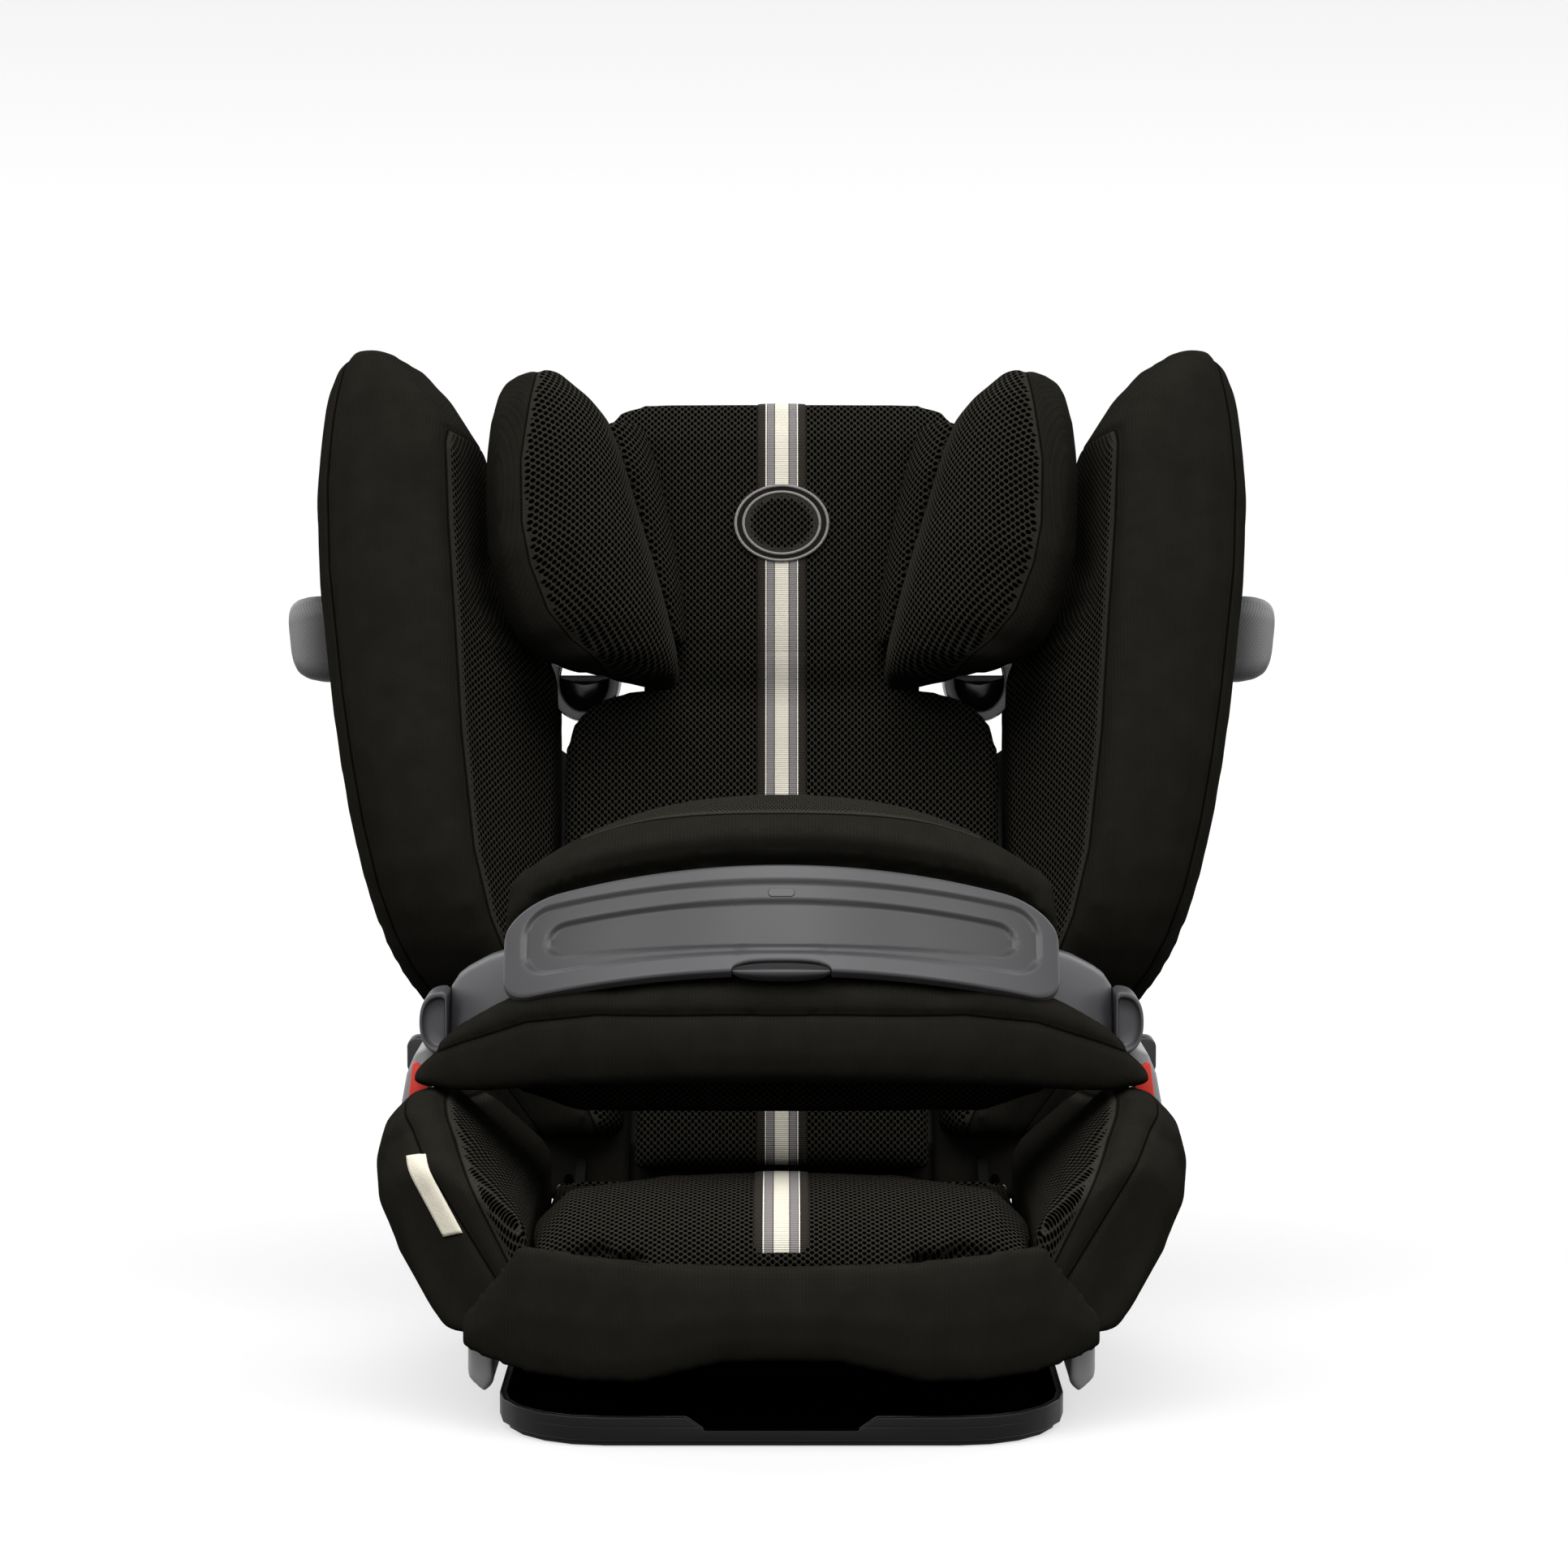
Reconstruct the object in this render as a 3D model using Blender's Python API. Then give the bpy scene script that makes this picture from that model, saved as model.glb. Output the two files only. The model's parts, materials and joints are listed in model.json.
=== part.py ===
"""Child car seat with an impact shield, a height-adjustable headrest and a reclining base.

Units are metres. The front faces -Y, +Z is up, and left and right are those of someone who faces the seat,
so that right is +X. The origin is on the floor, under the base.
"""

import math

import bpy
from mathutils import Matrix, Vector

# Clearances
GAP = 0.0004
RUNNING_GAP = 0.0008

# Base tray
SOLE_HEIGHT = 0.0030
SOLE_INSET = 0.004
BASE_WIDTH = 0.310
BASE_FRONT = -0.205
BASE_REAR = 0.175
BASE_CORNER = 0.060
RIM_TOP = 0.0165
RIM_WALL = 0.0040
TRAY_FLOOR = 0.0065
DIP_HALF_WIDTH = 0.041
DIP_SLOPE = 0.010
DIP_DEPTH = 0.0070

# Recline: the booster rides on two arc rails, whose common centre is the recline axis
RECLINE_Y = 0.120
RECLINE_Z = 0.725
RAIL_RADIUS = 0.700
RAIL_X = 0.085
RAIL_WIDTH = 0.018
RAIL_FRONT = -0.100
RAIL_REAR = 0.140
RUNNER_FRONT = -0.115
RUNNER_REAR = 0.070
RUNNER_LIP = 0.004

# Anchor connectors, at the standard spacing of the car's lower anchors
CONNECTOR_INSET = 0.015
CONNECTOR_X = BASE_WIDTH / 2 - CONNECTOR_INSET
CONNECTOR_WIDTH = 0.014
CONNECTOR_HEIGHT = 0.018
CONNECTOR_FRONT = -0.055
CONNECTOR_REAR = 0.180
JAW_SLOT = 0.008
JAW_DEPTH = 0.016
GUIDE_WALL = 0.0025
GUIDE_FRONT = -0.060
GUIDE_REAR = 0.1145
BUTTON_FRONT = 0.134
BUTTON_REAR = 0.148
BUTTON_WIDTH = 0.008
BUTTON_HEIGHT = 0.006
BUTTON_STROKE = 0.003

# Booster
PAN_Z = 0.072
SHELL_WALL = 0.004
PAN_HALF_WIDTH = 0.131
PAN_FRONT = -0.180
PAN_REAR = 0.078
WALL_TOP_Z = 0.095
TRIM_SIDE_GAP = 0.005
TRIM_WIDTH = 0.014
TRIM_INNER = BASE_WIDTH / 2 + TRIM_SIDE_GAP
TRIM_OUTER = TRIM_INNER + TRIM_WIDTH
TRIM_WEB = 0.004
TRIM_BOTTOM = 0.012
TRIM_TOP = 0.052
TRIM_FRONT = -0.128
TRIM_REAR = 0.070

# Recline handle
HANDLE_HALF = 0.050
HANDLE_FRONT = -0.201
HANDLE_BOTTOM = 0.036

# Seat cushion
CUSHION_HALF = PAN_HALF_WIDTH - SHELL_WALL - RUNNING_GAP
CUSHION_OVERHANG = 0.0090
CUSHION_LIP = CUSHION_HALF + CUSHION_OVERHANG
CUSHION_REAR = 0.044
CUSHION_FRONT = -0.2100
CUSHION_CROWN_Y = -0.140
CUSHION_CROWN_Z = 0.136
CUSHION_FALL = 0.012
CUSHION_CORNER_Y = -0.050
CUSHION_CORNER_RISE = 0.009

# Front cover, the padded skirt below the cushion's front edge
SKIRT_HALF = 0.173
SKIRT_FRONT = -0.2220
SKIRT_SWEEP = 0.044
SKIRT_THICK = 0.011
SKIRT_THIN = 0.005

# Lap belt guides
BELT_GUIDE_FRONT = -0.056
BELT_GUIDE_REAR = 0.014
BELT_GUIDE_ROOT = 0.128
RED_THICK = 0.0024

# Impact shield: its front panel follows a lower and an upper edge curve
PANEL_HALF = 0.1535
PANEL_LOW = (-0.190, 0.256)
PANEL_LOW_ENDS = (-0.130, 0.2295)
PANEL_HIGH = (-0.150, 0.3086)
PANEL_HIGH_ENDS = (-0.100, 0.278)
PANEL_THICK = 0.007
PANEL_RECESS = 0.0024
PANEL_LOW_CORNER = (0.017, 0.0145)
PANEL_HIGH_CORNER = (0.032, 0.0195)
RECESS_1 = 0.941
RECESS_2 = 0.853
ARM_OVERLAP = 0.0035
ARM_START = PANEL_HALF - ARM_OVERLAP
ARM_ROOT = ARM_START - 0.045
ARM_REACH = 0.0370
BAND_HALF = ARM_START + ARM_REACH
ARM_LOW = (-0.1180, 0.2225)
ARM_HEIGHT = 0.0305
BAND_LOW = 0.006
BAND_HIGH = 0.026
BAND_THICK = 0.010
CAP_FRONT = -0.0850
CAP_REAR = -0.0600
LEVER_HALF = 0.0262
LEVER_TOP = 0.0052
PAD_OVERHANG = 0.001
LOWER_PAD_HALF = 0.206
TOP_PAD_HALF = PANEL_HALF + PAD_OVERHANG
ROD_X = 0.070
ROD_Z = 0.262
ROD_RADIUS = 0.005
ROD_FRONT = -0.1448
ROD_REAR = -0.088

# Backrest, in a frame that stands on its pivot and leans back
LEAN = math.radians(16.0)
PIVOT_Y = 0.105
PIVOT_Z = 0.095
PIVOT_RADIUS = 0.0060
PIVOT_BARREL = 0.0118
BRACKET_THICK = 0.006
PIVOT_SIDE_GAP = 0.0028
PIVOT_END_GAP = 0.0062
PIVOT_HALF = PAN_HALF_WIDTH - SHELL_WALL - PIVOT_SIDE_GAP - BRACKET_THICK
PIVOT_BARREL_HALF = PIVOT_HALF - PIVOT_END_GAP
PLATE_THICK = 0.006
PLATE_Y = -0.012
PLATE_HALF = 0.128
PLATE_SHOULDER = 0.240
SPINE_HALF = 0.055
SPINE_TOP = 0.440
SLOT_WIDTH = 0.009
SLOT_BOTTOM = 0.100
LUMBAR_HALF = 0.088
LUMBAR_TOP = 0.268
LUMBAR_FRONT = -0.060
LUMBAR_BOARD_FRONT = -0.046

# Headrest carriage and the padded panel that rises with it
CARRIAGE_BOTTOM = 0.120
SPINE_RISE = 0.040
CARRIAGE_TOP = SPINE_TOP - SPINE_RISE
CARRIAGE_FRONT = -0.0335
LEVER_GRIP = 0.0255
LEVER_HANDLE_TOP = SPINE_TOP + LEVER_GRIP
RACK_HALF = 0.012
RACK_PITCH = 0.017
RACK_STEPS = 12
PANEL_PAD_FRONT = -0.068

# Headrest, which tilts on a pin at the carriage
TILT_Y = -0.0390
TILT_U = 0.304
TILT_RADIUS = 0.0022
TILT_BARREL = 0.0050
TILT_HALF = 0.045
HEAD_PAD_FRONT = -0.072


def clear_scene():
    for obj in list(bpy.data.objects):
        bpy.data.objects.remove(obj, do_unlink=True)


def material(name, colour, roughness, metallic=0.0):
    """A plain Principled material, one for each piece."""
    made = bpy.data.materials.new(name)
    made.use_nodes = True
    shader = made.node_tree.nodes["Principled BSDF"]
    shader.inputs["Base Color"].default_value = (*colour, 1.0)
    shader.inputs["Roughness"].default_value = roughness
    shader.inputs["Metallic"].default_value = metallic
    return made


BLACK_FABRIC = ((0.012, 0.012, 0.011), 0.95)
BLACK_MESH = ((0.016, 0.016, 0.015), 0.95)
BLACK_PLASTIC = ((0.010, 0.010, 0.011), 0.45)
DARK_GREY_PLASTIC = ((0.050, 0.050, 0.054), 0.50)
GREY_PLASTIC = ((0.120, 0.120, 0.130), 0.50)
LIGHT_GREY_PLASTIC = ((0.220, 0.220, 0.225), 0.45)
RED_PLASTIC = ((0.620, 0.030, 0.020), 0.45)
RUBBER = ((0.015, 0.015, 0.015), 0.90)
STEEL = ((0.480, 0.480, 0.490), 0.35, 1.0)


def empty(name, location, parent=None, tilt=0.0):
    """A frame for the pieces of one moving body, standing on its joint's axis."""
    made = bpy.data.objects.new(name, None)
    made.empty_display_size = 0.03
    made.location = location
    made.rotation_euler = (tilt, 0.0, 0.0)
    bpy.context.scene.collection.objects.link(made)
    if parent is not None:
        made.parent = parent
    return made


def world_matrix(frame):
    """The frame's place in the world, worked out from its own values."""
    own = Matrix.LocRotScale(frame.location, frame.rotation_euler, None)
    return world_matrix(frame.parent) @ own if frame.parent else own


def piece(name, vertices, faces, finish, frame, space=None, smooth_angle=40.0):
    """One named sub-part. Its points are in the world, or in the frame that space names."""
    mesh = bpy.data.meshes.new(name)
    mesh.from_pydata([tuple(v) for v in vertices], [], faces)
    mesh.update()
    mesh.materials.append(material(name, *finish))
    mesh.shade_smooth()
    mesh.set_sharp_from_angle(angle=math.radians(smooth_angle))
    obj = bpy.data.objects.new(name, mesh)
    bpy.context.scene.collection.objects.link(obj)
    obj.parent = frame
    obj.matrix_parent_inverse = world_matrix(frame).inverted() @ (world_matrix(space) if space else Matrix())
    return obj


def loft(rings):
    """Vertices and faces of a closed body through rings of equal count."""
    count = len(rings[0])
    vertices = [Vector(p) for ring in rings for p in ring]
    faces = []
    for row in range(len(rings) - 1):
        a, b = row * count, (row + 1) * count
        for i in range(count):
            j = (i + 1) % count
            faces.append((a + i, a + j, b + j, b + i))
    last = (len(rings) - 1) * count
    faces += [tuple(reversed(range(count))), tuple(range(last, last + count))]
    return vertices, faces


def shrunk(ring, scale, shift):
    """The ring drawn in towards its middle, and moved on."""
    middle = sum((Vector(p) for p in ring), Vector()) / len(ring)
    return [middle + (Vector(p) - middle) * scale + Vector(shift) for p in ring]


def soft_ends(rings, axis, reach):
    """Adds drawn-in rings at both ends, so that a padded piece closes in a round. reach is along the axis."""
    step = Vector(axis) * reach
    first, last = rings[0], rings[-1]
    before = [shrunk(first, 0.55, -step), shrunk(first, 0.84, -0.7 * step), shrunk(first, 0.96, -0.3 * step)]
    after = [shrunk(last, 0.96, 0.3 * step), shrunk(last, 0.84, 0.7 * step), shrunk(last, 0.55, step)]
    return before + rings + after


def outward(vertices, faces):
    """The same faces, turned to point out: the signed volume decides."""
    volume = 0.0
    for f in faces:
        for k in range(1, len(f) - 1):
            a, b, c = vertices[f[0]], vertices[f[k]], vertices[f[k + 1]]
            volume += a.dot(b.cross(c))
    return faces if volume > 0 else [tuple(reversed(f)) for f in faces]


def lofted(name, rings, finish, frame, space=None, smooth_angle=50.0):
    vertices, faces = loft(rings)
    return piece(name, vertices, outward(vertices, faces), finish, frame, space, smooth_angle)


def rounded(corners, radius, steps=3):
    """A closed 2-D outline whose corners are arcs. radius is one value, or one for each corner."""
    count = len(corners)
    radii = radius if hasattr(radius, "__len__") else [radius] * count
    points = []
    for i in range(count):
        here = Vector(corners[i])
        before = (Vector(corners[i - 1]) - here).normalized()
        after = (Vector(corners[(i + 1) % count]) - here).normalized()
        half = before.angle(after) / 2.0
        if radii[i] <= 0.0:
            points += [here.copy()] * (steps + 1)
            continue
        reach = radii[i] / math.tan(half)
        centre = here + (before + after).normalized() * (radii[i] / math.sin(half))
        start, end = here + before * reach - centre, here + after * reach - centre
        sweep = start.angle_signed(end)
        for k in range(steps + 1):
            points.append(centre + Matrix.Rotation(-sweep * k / steps, 2) @ start)
    return points


def prism(name, outline, place, low, high, finish, frame, space=None):
    """An outline extruded from low to high. place turns an outline point and a height into a point."""
    count = len(outline)
    vertices = [Vector(place(p, h)) for h in (low, high) for p in outline]
    faces = [(i, (i + 1) % count, count + (i + 1) % count, count + i) for i in range(count)]
    faces += [tuple(range(count))[::-1], tuple(range(count, 2 * count))]
    return piece(name, vertices, outward(vertices, faces), finish, frame, space, 35.0)


def along_x(p, x):
    """An outline in the Y-Z plane, extruded along X."""
    return (x, p[0], p[1])


def along_y(p, y):
    """An outline in the X-Z plane, extruded along Y."""
    return (p[0], y, p[1])


def along_z(p, z):
    """An outline in the X-Y plane, extruded along Z."""
    return (p[0], p[1], z)


def rectangle(low, high):
    return [(low[0], low[1]), (high[0], low[1]), (high[0], high[1]), (low[0], high[1])]


def circle(centre, radius, count=20):
    turn = 2.0 * math.pi / count
    return [(centre[0] + radius * math.cos(i * turn), centre[1] + radius * math.sin(i * turn))
            for i in range(count)]


def tube_x(name, centre, outer, inner, low, high, finish, frame, space=None):
    """A round tube along X, with its bore open at both ends."""
    count = 20
    rings = []
    for radius, x in ((outer, low), (outer, high), (inner, high), (inner, low)):
        rings.append([Vector((x, *p)) for p in circle(centre, radius, count)])
    vertices = [p for ring in rings for p in ring]
    faces = []
    for row in range(4):
        a, b = row * count, ((row + 1) % 4) * count
        faces += [(a + i, a + (i + 1) % count, b + (i + 1) % count, b + i) for i in range(count)]
    return piece(name, vertices, outward(vertices, faces), finish, frame, space, 35.0)


def cut(obj, name, vertices, faces):
    """Removes a cutter's shape from the piece. The cutter stays as a hidden wire helper."""
    mesh = bpy.data.meshes.new(name)
    mesh.from_pydata([tuple(v) for v in vertices], [], outward(vertices, faces))
    mesh.update()
    cutter = bpy.data.objects.new(name, mesh)
    bpy.context.scene.collection.objects.link(cutter)
    cutter.parent = obj.parent
    cutter.matrix_parent_inverse = obj.matrix_parent_inverse.copy()
    cutter.hide_render = True
    cutter.display_type = "WIRE"
    modifier = obj.modifiers.new(name, "BOOLEAN")
    modifier.solver = "EXACT"
    modifier.operation = "DIFFERENCE"
    modifier.object = cutter
    return cutter


def prism_faces(outline, place, low, high):
    """The same body as prism makes, as bare vertices and faces for a cutter."""
    count = len(outline)
    vertices = [Vector(place(p, h)) for h in (low, high) for p in outline]
    faces = [(i, (i + 1) % count, count + (i + 1) % count, count + i) for i in range(count)]
    return vertices, faces + [tuple(range(count))[::-1], tuple(range(count, 2 * count))]


def blend(table, at):
    """Reads a smooth curve through (position, value) pairs at one position."""
    if at <= table[0][0]:
        return table[0][1]
    for (p0, v0), (p1, v1) in zip(table, table[1:]):
        if at <= p1:
            t = (at - p0) / (p1 - p0)
            return v0 + (v1 - v0) * t
    return table[-1][1]


def spread(low, high, count):
    return [low + (high - low) * i / (count - 1) for i in range(count)]


def mirrored(ring, side):
    """The ring as made for +X, or its mirror image for the other side."""
    return [Vector((p[0] * side, p[1], p[2])) for p in ring]


SIDES = (("left", -1), ("right", 1))


# Base

def base_outline(inset):
    half = BASE_WIDTH / 2 - inset
    corners = rectangle((-half, BASE_FRONT + inset), (half, BASE_REAR - inset))
    return rounded(corners, BASE_CORNER - inset, 5)


def make_base(frame):
    prism("base_sole", base_outline(SOLE_INSET), along_z, 0.0, SOLE_HEIGHT, RUBBER, frame)
    tray = prism("base_tray", base_outline(0.0), along_z, SOLE_HEIGHT + GAP, RIM_TOP, DARK_GREY_PLASTIC,
                 frame)
    above = RIM_TOP + 0.02
    cut(tray, "tray_pocket", *prism_faces(base_outline(RIM_WALL), along_z, TRAY_FLOOR, above))
    dip = [(-DIP_HALF_WIDTH - DIP_SLOPE, above), (-DIP_HALF_WIDTH - DIP_SLOPE, RIM_TOP),
           (-DIP_HALF_WIDTH, RIM_TOP - DIP_DEPTH), (DIP_HALF_WIDTH, RIM_TOP - DIP_DEPTH),
           (DIP_HALF_WIDTH + DIP_SLOPE, RIM_TOP), (DIP_HALF_WIDTH + DIP_SLOPE, above)]
    notch_tray(tray)
    cut(tray, "tray_dip", *prism_faces(dip, along_y, BASE_FRONT - 0.02, BASE_FRONT + 0.03))


def rail_height(y, radius):
    """Height of an arc about the recline axis at this depth."""
    return RECLINE_Z - math.sqrt(radius ** 2 - (y - RECLINE_Y) ** 2)


def make_rails(base, seat):
    """Arc rails on the tray, and the booster's runners that slide on them."""
    for name, side in SIDES:
        x = (side * RAIL_X - RAIL_WIDTH / 2, side * RAIL_X + RAIL_WIDTH / 2)
        ys = spread(RAIL_FRONT, RAIL_REAR, 13)
        outline = [(y, rail_height(y, RAIL_RADIUS)) for y in ys]
        outline += [(RAIL_REAR, TRAY_FLOOR + GAP), (RAIL_FRONT, TRAY_FLOOR + GAP)]
        prism(f"recline_rail_{name}", outline, along_x, *x, BLACK_PLASTIC, base)
        ys = spread(RUNNER_FRONT, RUNNER_REAR, 11)
        outline = [(y, rail_height(y, RAIL_RADIUS - RUNNING_GAP)) for y in ys]
        outline += [(RUNNER_REAR, PAN_Z - GAP), (RUNNER_FRONT, PAN_Z - GAP)]
        x = (x[0] - RUNNER_LIP, x[1] + RUNNER_LIP)
        prism(f"recline_runner_{name}", outline, along_x, *x, BLACK_PLASTIC, seat)


# Anchor connectors

def make_connectors(base):
    """Two arms with open jaws that slide out of guide tubes on the tray, and a release button on each."""
    bottom = TRAY_FLOOR + GAP
    half_w = CONNECTOR_WIDTH / 2 + RUNNING_GAP
    low = bottom + GUIDE_WALL + RUNNING_GAP
    high = low + CONNECTOR_HEIGHT
    outer = rectangle((-half_w - GUIDE_WALL, bottom), (half_w + GUIDE_WALL, high + RUNNING_GAP + GUIDE_WALL))
    bore = rectangle((-half_w, low - RUNNING_GAP), (half_w, high + RUNNING_GAP))
    for name, side in SIDES:
        x = side * CONNECTOR_X

        def shifted(p, y, x=x):
            return (x + p[0], y, p[1])

        guide = prism(f"connector_guide_{name}", outer, shifted, GUIDE_FRONT, GUIDE_REAR, BLACK_PLASTIC, base)
        cut(guide, f"guide_bore_{name}", *prism_faces(bore, shifted, GUIDE_FRONT - 0.01, GUIDE_REAR + 0.01))

        frame = empty(f"connector_frame_{name}", (x, CONNECTOR_FRONT, low))
        middle = (low + high) / 2
        arm = [(CONNECTOR_FRONT, low), (CONNECTOR_REAR - 0.004, low), (CONNECTOR_REAR, low + 0.004),
               (CONNECTOR_REAR, middle - JAW_SLOT / 2), (CONNECTOR_REAR - JAW_DEPTH, middle - JAW_SLOT / 2),
               (CONNECTOR_REAR - JAW_DEPTH, middle + JAW_SLOT / 2), (CONNECTOR_REAR, middle + JAW_SLOT / 2),
               (CONNECTOR_REAR, high - 0.004), (CONNECTOR_REAR - 0.004, high), (CONNECTOR_FRONT, high)]
        edges = (x - CONNECTOR_WIDTH / 2, x + CONNECTOR_WIDTH / 2)
        body = prism(f"connector_arm_{name}", arm, along_x, *edges, STEEL, frame)
        floor = high - BUTTON_HEIGHT
        well = rectangle((x - BUTTON_WIDTH / 2 - GAP, BUTTON_FRONT - GAP),
                         (x + BUTTON_WIDTH / 2 + GAP, BUTTON_REAR + GAP))
        cut(body, f"button_well_{name}", *prism_faces(well, along_z, floor, high + 0.01))

        press = empty(f"button_frame_{name}", (0.0, BUTTON_FRONT - CONNECTOR_FRONT, high - low), frame)
        cap = rounded(rectangle((x - BUTTON_WIDTH / 2, BUTTON_FRONT), (x + BUTTON_WIDTH / 2, BUTTON_REAR)),
                      0.002)
        top = floor + BUTTON_STROKE + GAP + BUTTON_HEIGHT
        prism(f"connector_button_{name}", cap, along_z, floor + BUTTON_STROKE + GAP, top, RED_PLASTIC, press)


def notch_tray(tray):
    """Lets the connector arms out through the tray's rear corners."""
    half = CONNECTOR_WIDTH / 2 + RUNNING_GAP
    for name, side in SIDES:
        box = rectangle((side * CONNECTOR_X - half, 0.09), (side * CONNECTOR_X + half, 0.20))
        cut(tray, f"tray_notch_{name}", *prism_faces(box, along_z, TRAY_FLOOR, RIM_TOP + 0.02))


# Booster

def make_booster(seat):
    wall = SHELL_WALL
    section = [(-PAN_HALF_WIDTH, WALL_TOP_Z), (-PAN_HALF_WIDTH, PAN_Z), (PAN_HALF_WIDTH, PAN_Z),
               (PAN_HALF_WIDTH, WALL_TOP_Z), (PAN_HALF_WIDTH - wall, WALL_TOP_Z),
               (PAN_HALF_WIDTH - wall, PAN_Z + wall), (wall - PAN_HALF_WIDTH, PAN_Z + wall),
               (wall - PAN_HALF_WIDTH, WALL_TOP_Z)]
    prism("booster_shell", section, along_y, PAN_FRONT, PAN_REAR, BLACK_PLASTIC, seat)
    for name, side in SIDES:
        x0 = PAN_HALF_WIDTH + GAP
        web = [(x0, 0.090), (x0, TRIM_TOP - TRIM_WEB), (TRIM_INNER, TRIM_TOP - TRIM_WEB),
               (TRIM_INNER, TRIM_BOTTOM + 0.004), (TRIM_INNER + 0.004, TRIM_BOTTOM),
               (TRIM_OUTER - 0.008, TRIM_BOTTOM), (TRIM_OUTER, TRIM_BOTTOM + 0.008),
               (TRIM_OUTER, TRIM_TOP), (x0 + TRIM_WEB, TRIM_TOP), (x0 + TRIM_WEB, 0.090)]
        section = [(side * px, pz) for px, pz in web]
        prism(f"booster_trim_{name}", section, along_y, TRIM_FRONT, TRIM_REAR, GREY_PLASTIC, seat)


def skirt_plan(x):
    """Depth of the front cover's face at this distance from the middle."""
    return SKIRT_FRONT + SKIRT_SWEEP * (abs(x) / SKIRT_HALF) ** 2.5


def skirt_thickness(x):
    return SKIRT_THICK + (SKIRT_THIN - SKIRT_THICK) * (abs(x) / SKIRT_HALF) ** 2


SKIRT_TOP = [(0.0, 0.100), (0.08, 0.102), (0.136, 0.107), (0.141, 0.1055), (0.173, 0.064)]
SKIRT_HEM = [(0.0, 0.0500), (0.030, 0.0495), (0.052, 0.044), (0.075, 0.0375), (0.105, 0.036), (0.140, 0.039),
             (0.160, 0.044), (0.173, 0.049)]


def make_front_cover(seat):
    """A padded skirt: arched hem, its upper corners cut off along the bolsters' seams."""
    right = [0.015, 0.030, 0.042, 0.052, 0.062, 0.075, 0.090, 0.105, 0.122, 0.136, 0.141, 0.1485, 0.158,
             0.168, 0.173]
    rings = []
    for x in [-s for s in reversed(right)] + [0.0] + right:
        top, hem = blend(SKIRT_TOP, abs(x)), blend(SKIRT_HEM, abs(x))
        front, thick = skirt_plan(x), skirt_thickness(x)
        height = top - hem
        edge, round_off = 0.35 * thick, min(0.012, 0.25 * height)
        puff = 0.0025 * min(1.0, height / 0.05)
        face = [(front + 0.9 * edge, hem), (front + 0.25 * edge, hem + 0.4 * round_off),
                (front - 0.4 * puff, hem + round_off), (front - puff, hem + 0.5 * height),
                (front - 0.4 * puff, top - round_off), (front + 0.25 * edge, top - 0.4 * round_off),
                (front + 0.9 * edge, top)]
        rings.append([(x, y, z) for y, z in face] + [(x, front + thick, z) for _, z in reversed(face)])
    lofted("front_cover", rings, BLACK_FABRIC, seat)


def cover_sweep(x):
    """How far the front cover's rear face lies behind its middle at this x."""
    return skirt_plan(x) + skirt_thickness(x) - SKIRT_FRONT - SKIRT_THICK


def cushion_top(x, y):
    """Height of the cushion's upper surface: a crown near its front, lower sides, raised rear corners."""
    t = (y - CUSHION_CROWN_Y) / (CUSHION_FRONT - CUSHION_CROWN_Y)
    if t > 0.0:
        middle = 0.100 + (CUSHION_CROWN_Z - 0.100) * math.sqrt(max(0.0, 1.0 - t ** 2.6))
    else:
        b = (CUSHION_CROWN_Y - y) / (CUSHION_CROWN_Y - CUSHION_REAR)
        middle = CUSHION_CROWN_Z - 0.020 * b ** 1.5
    across = abs(x) / CUSHION_LIP
    raised = max(0.0, min(1.0, (y - CUSHION_CORNER_Y) / (CUSHION_REAR - CUSHION_CORNER_Y)))
    return middle + ((CUSHION_FALL + CUSHION_CORNER_RISE) * raised - CUSHION_FALL) * across ** 2.2


def make_cushion(seat):
    """A crowned pad that lies in the booster's pan, with a lip over its walls."""
    depths = [CUSHION_FRONT, -0.2085, -0.2045, -0.198, -0.188, -0.172, -0.155, -0.135, -0.110, -0.080,
              -0.045, -0.010, 0.020, 0.036, 0.042, CUSHION_REAR]
    across = [-1.0, -0.86, -0.66, -0.44, -0.22, 0.0, 0.22, 0.44, 0.66, 0.86, 1.0]
    edge_height = [(-0.21, 0.0985), (-0.19, 0.104), (-0.13, 0.110), (-0.05, 0.108), (0.044, 0.122)]
    floor, low = PAN_Z + SHELL_WALL + GAP, WALL_TOP_Z + GAP
    rings = []
    for y in depths:
        inside = max(0.0, min(1.0, (y - CUSHION_FRONT) / 0.010, (CUSHION_REAR - y) / 0.008))
        draw = 0.004 * (1.0 - math.sqrt(1.0 - (1.0 - inside) ** 2))
        lip, foot = CUSHION_LIP - draw, CUSHION_HALF - draw
        top = [(a * lip, cushion_top(a * lip, y) - 0.6 * draw) for a in across]
        edge = min(top[0][1], blend(edge_height, y))
        top[0], top[-1] = (-lip, edge), (lip, edge)
        over = [(-foot, low), (0.0006 - lip, low + 0.0016)] + top
        over += [(lip - 0.0006, low + 0.0016), (foot, low)]
        under = [(x, floor) for x in spread(foot, -foot, 9)]
        near = max(0.0, min(1.0, (-0.120 - y) / 0.090))
        rings.append([(x, y + near * cover_sweep(x), z) for x, z in over + under])
    lofted("seat_cushion", rings, BLACK_MESH, seat)


# A bolster's section, up its inner side and down its outer side: (beyond the pan's side, Z)
BOLSTER_SECTION = [(0.0062, 0.0580), (0.0062, 0.0900), (0.0062, 0.1130), (0.0120, 0.1260), (0.0250, 0.1420),
                   (0.0390, 0.1575), (0.0520, 0.1700), (0.0640, 0.1750), (0.0770, 0.1720), (0.0890, 0.1600),
                   (0.0940, 0.1400), (0.0918, 0.1180), (0.0795, 0.0890), (0.0630, 0.0660), (0.0510, 0.0550),
                   (0.0270, 0.0545)]


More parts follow.
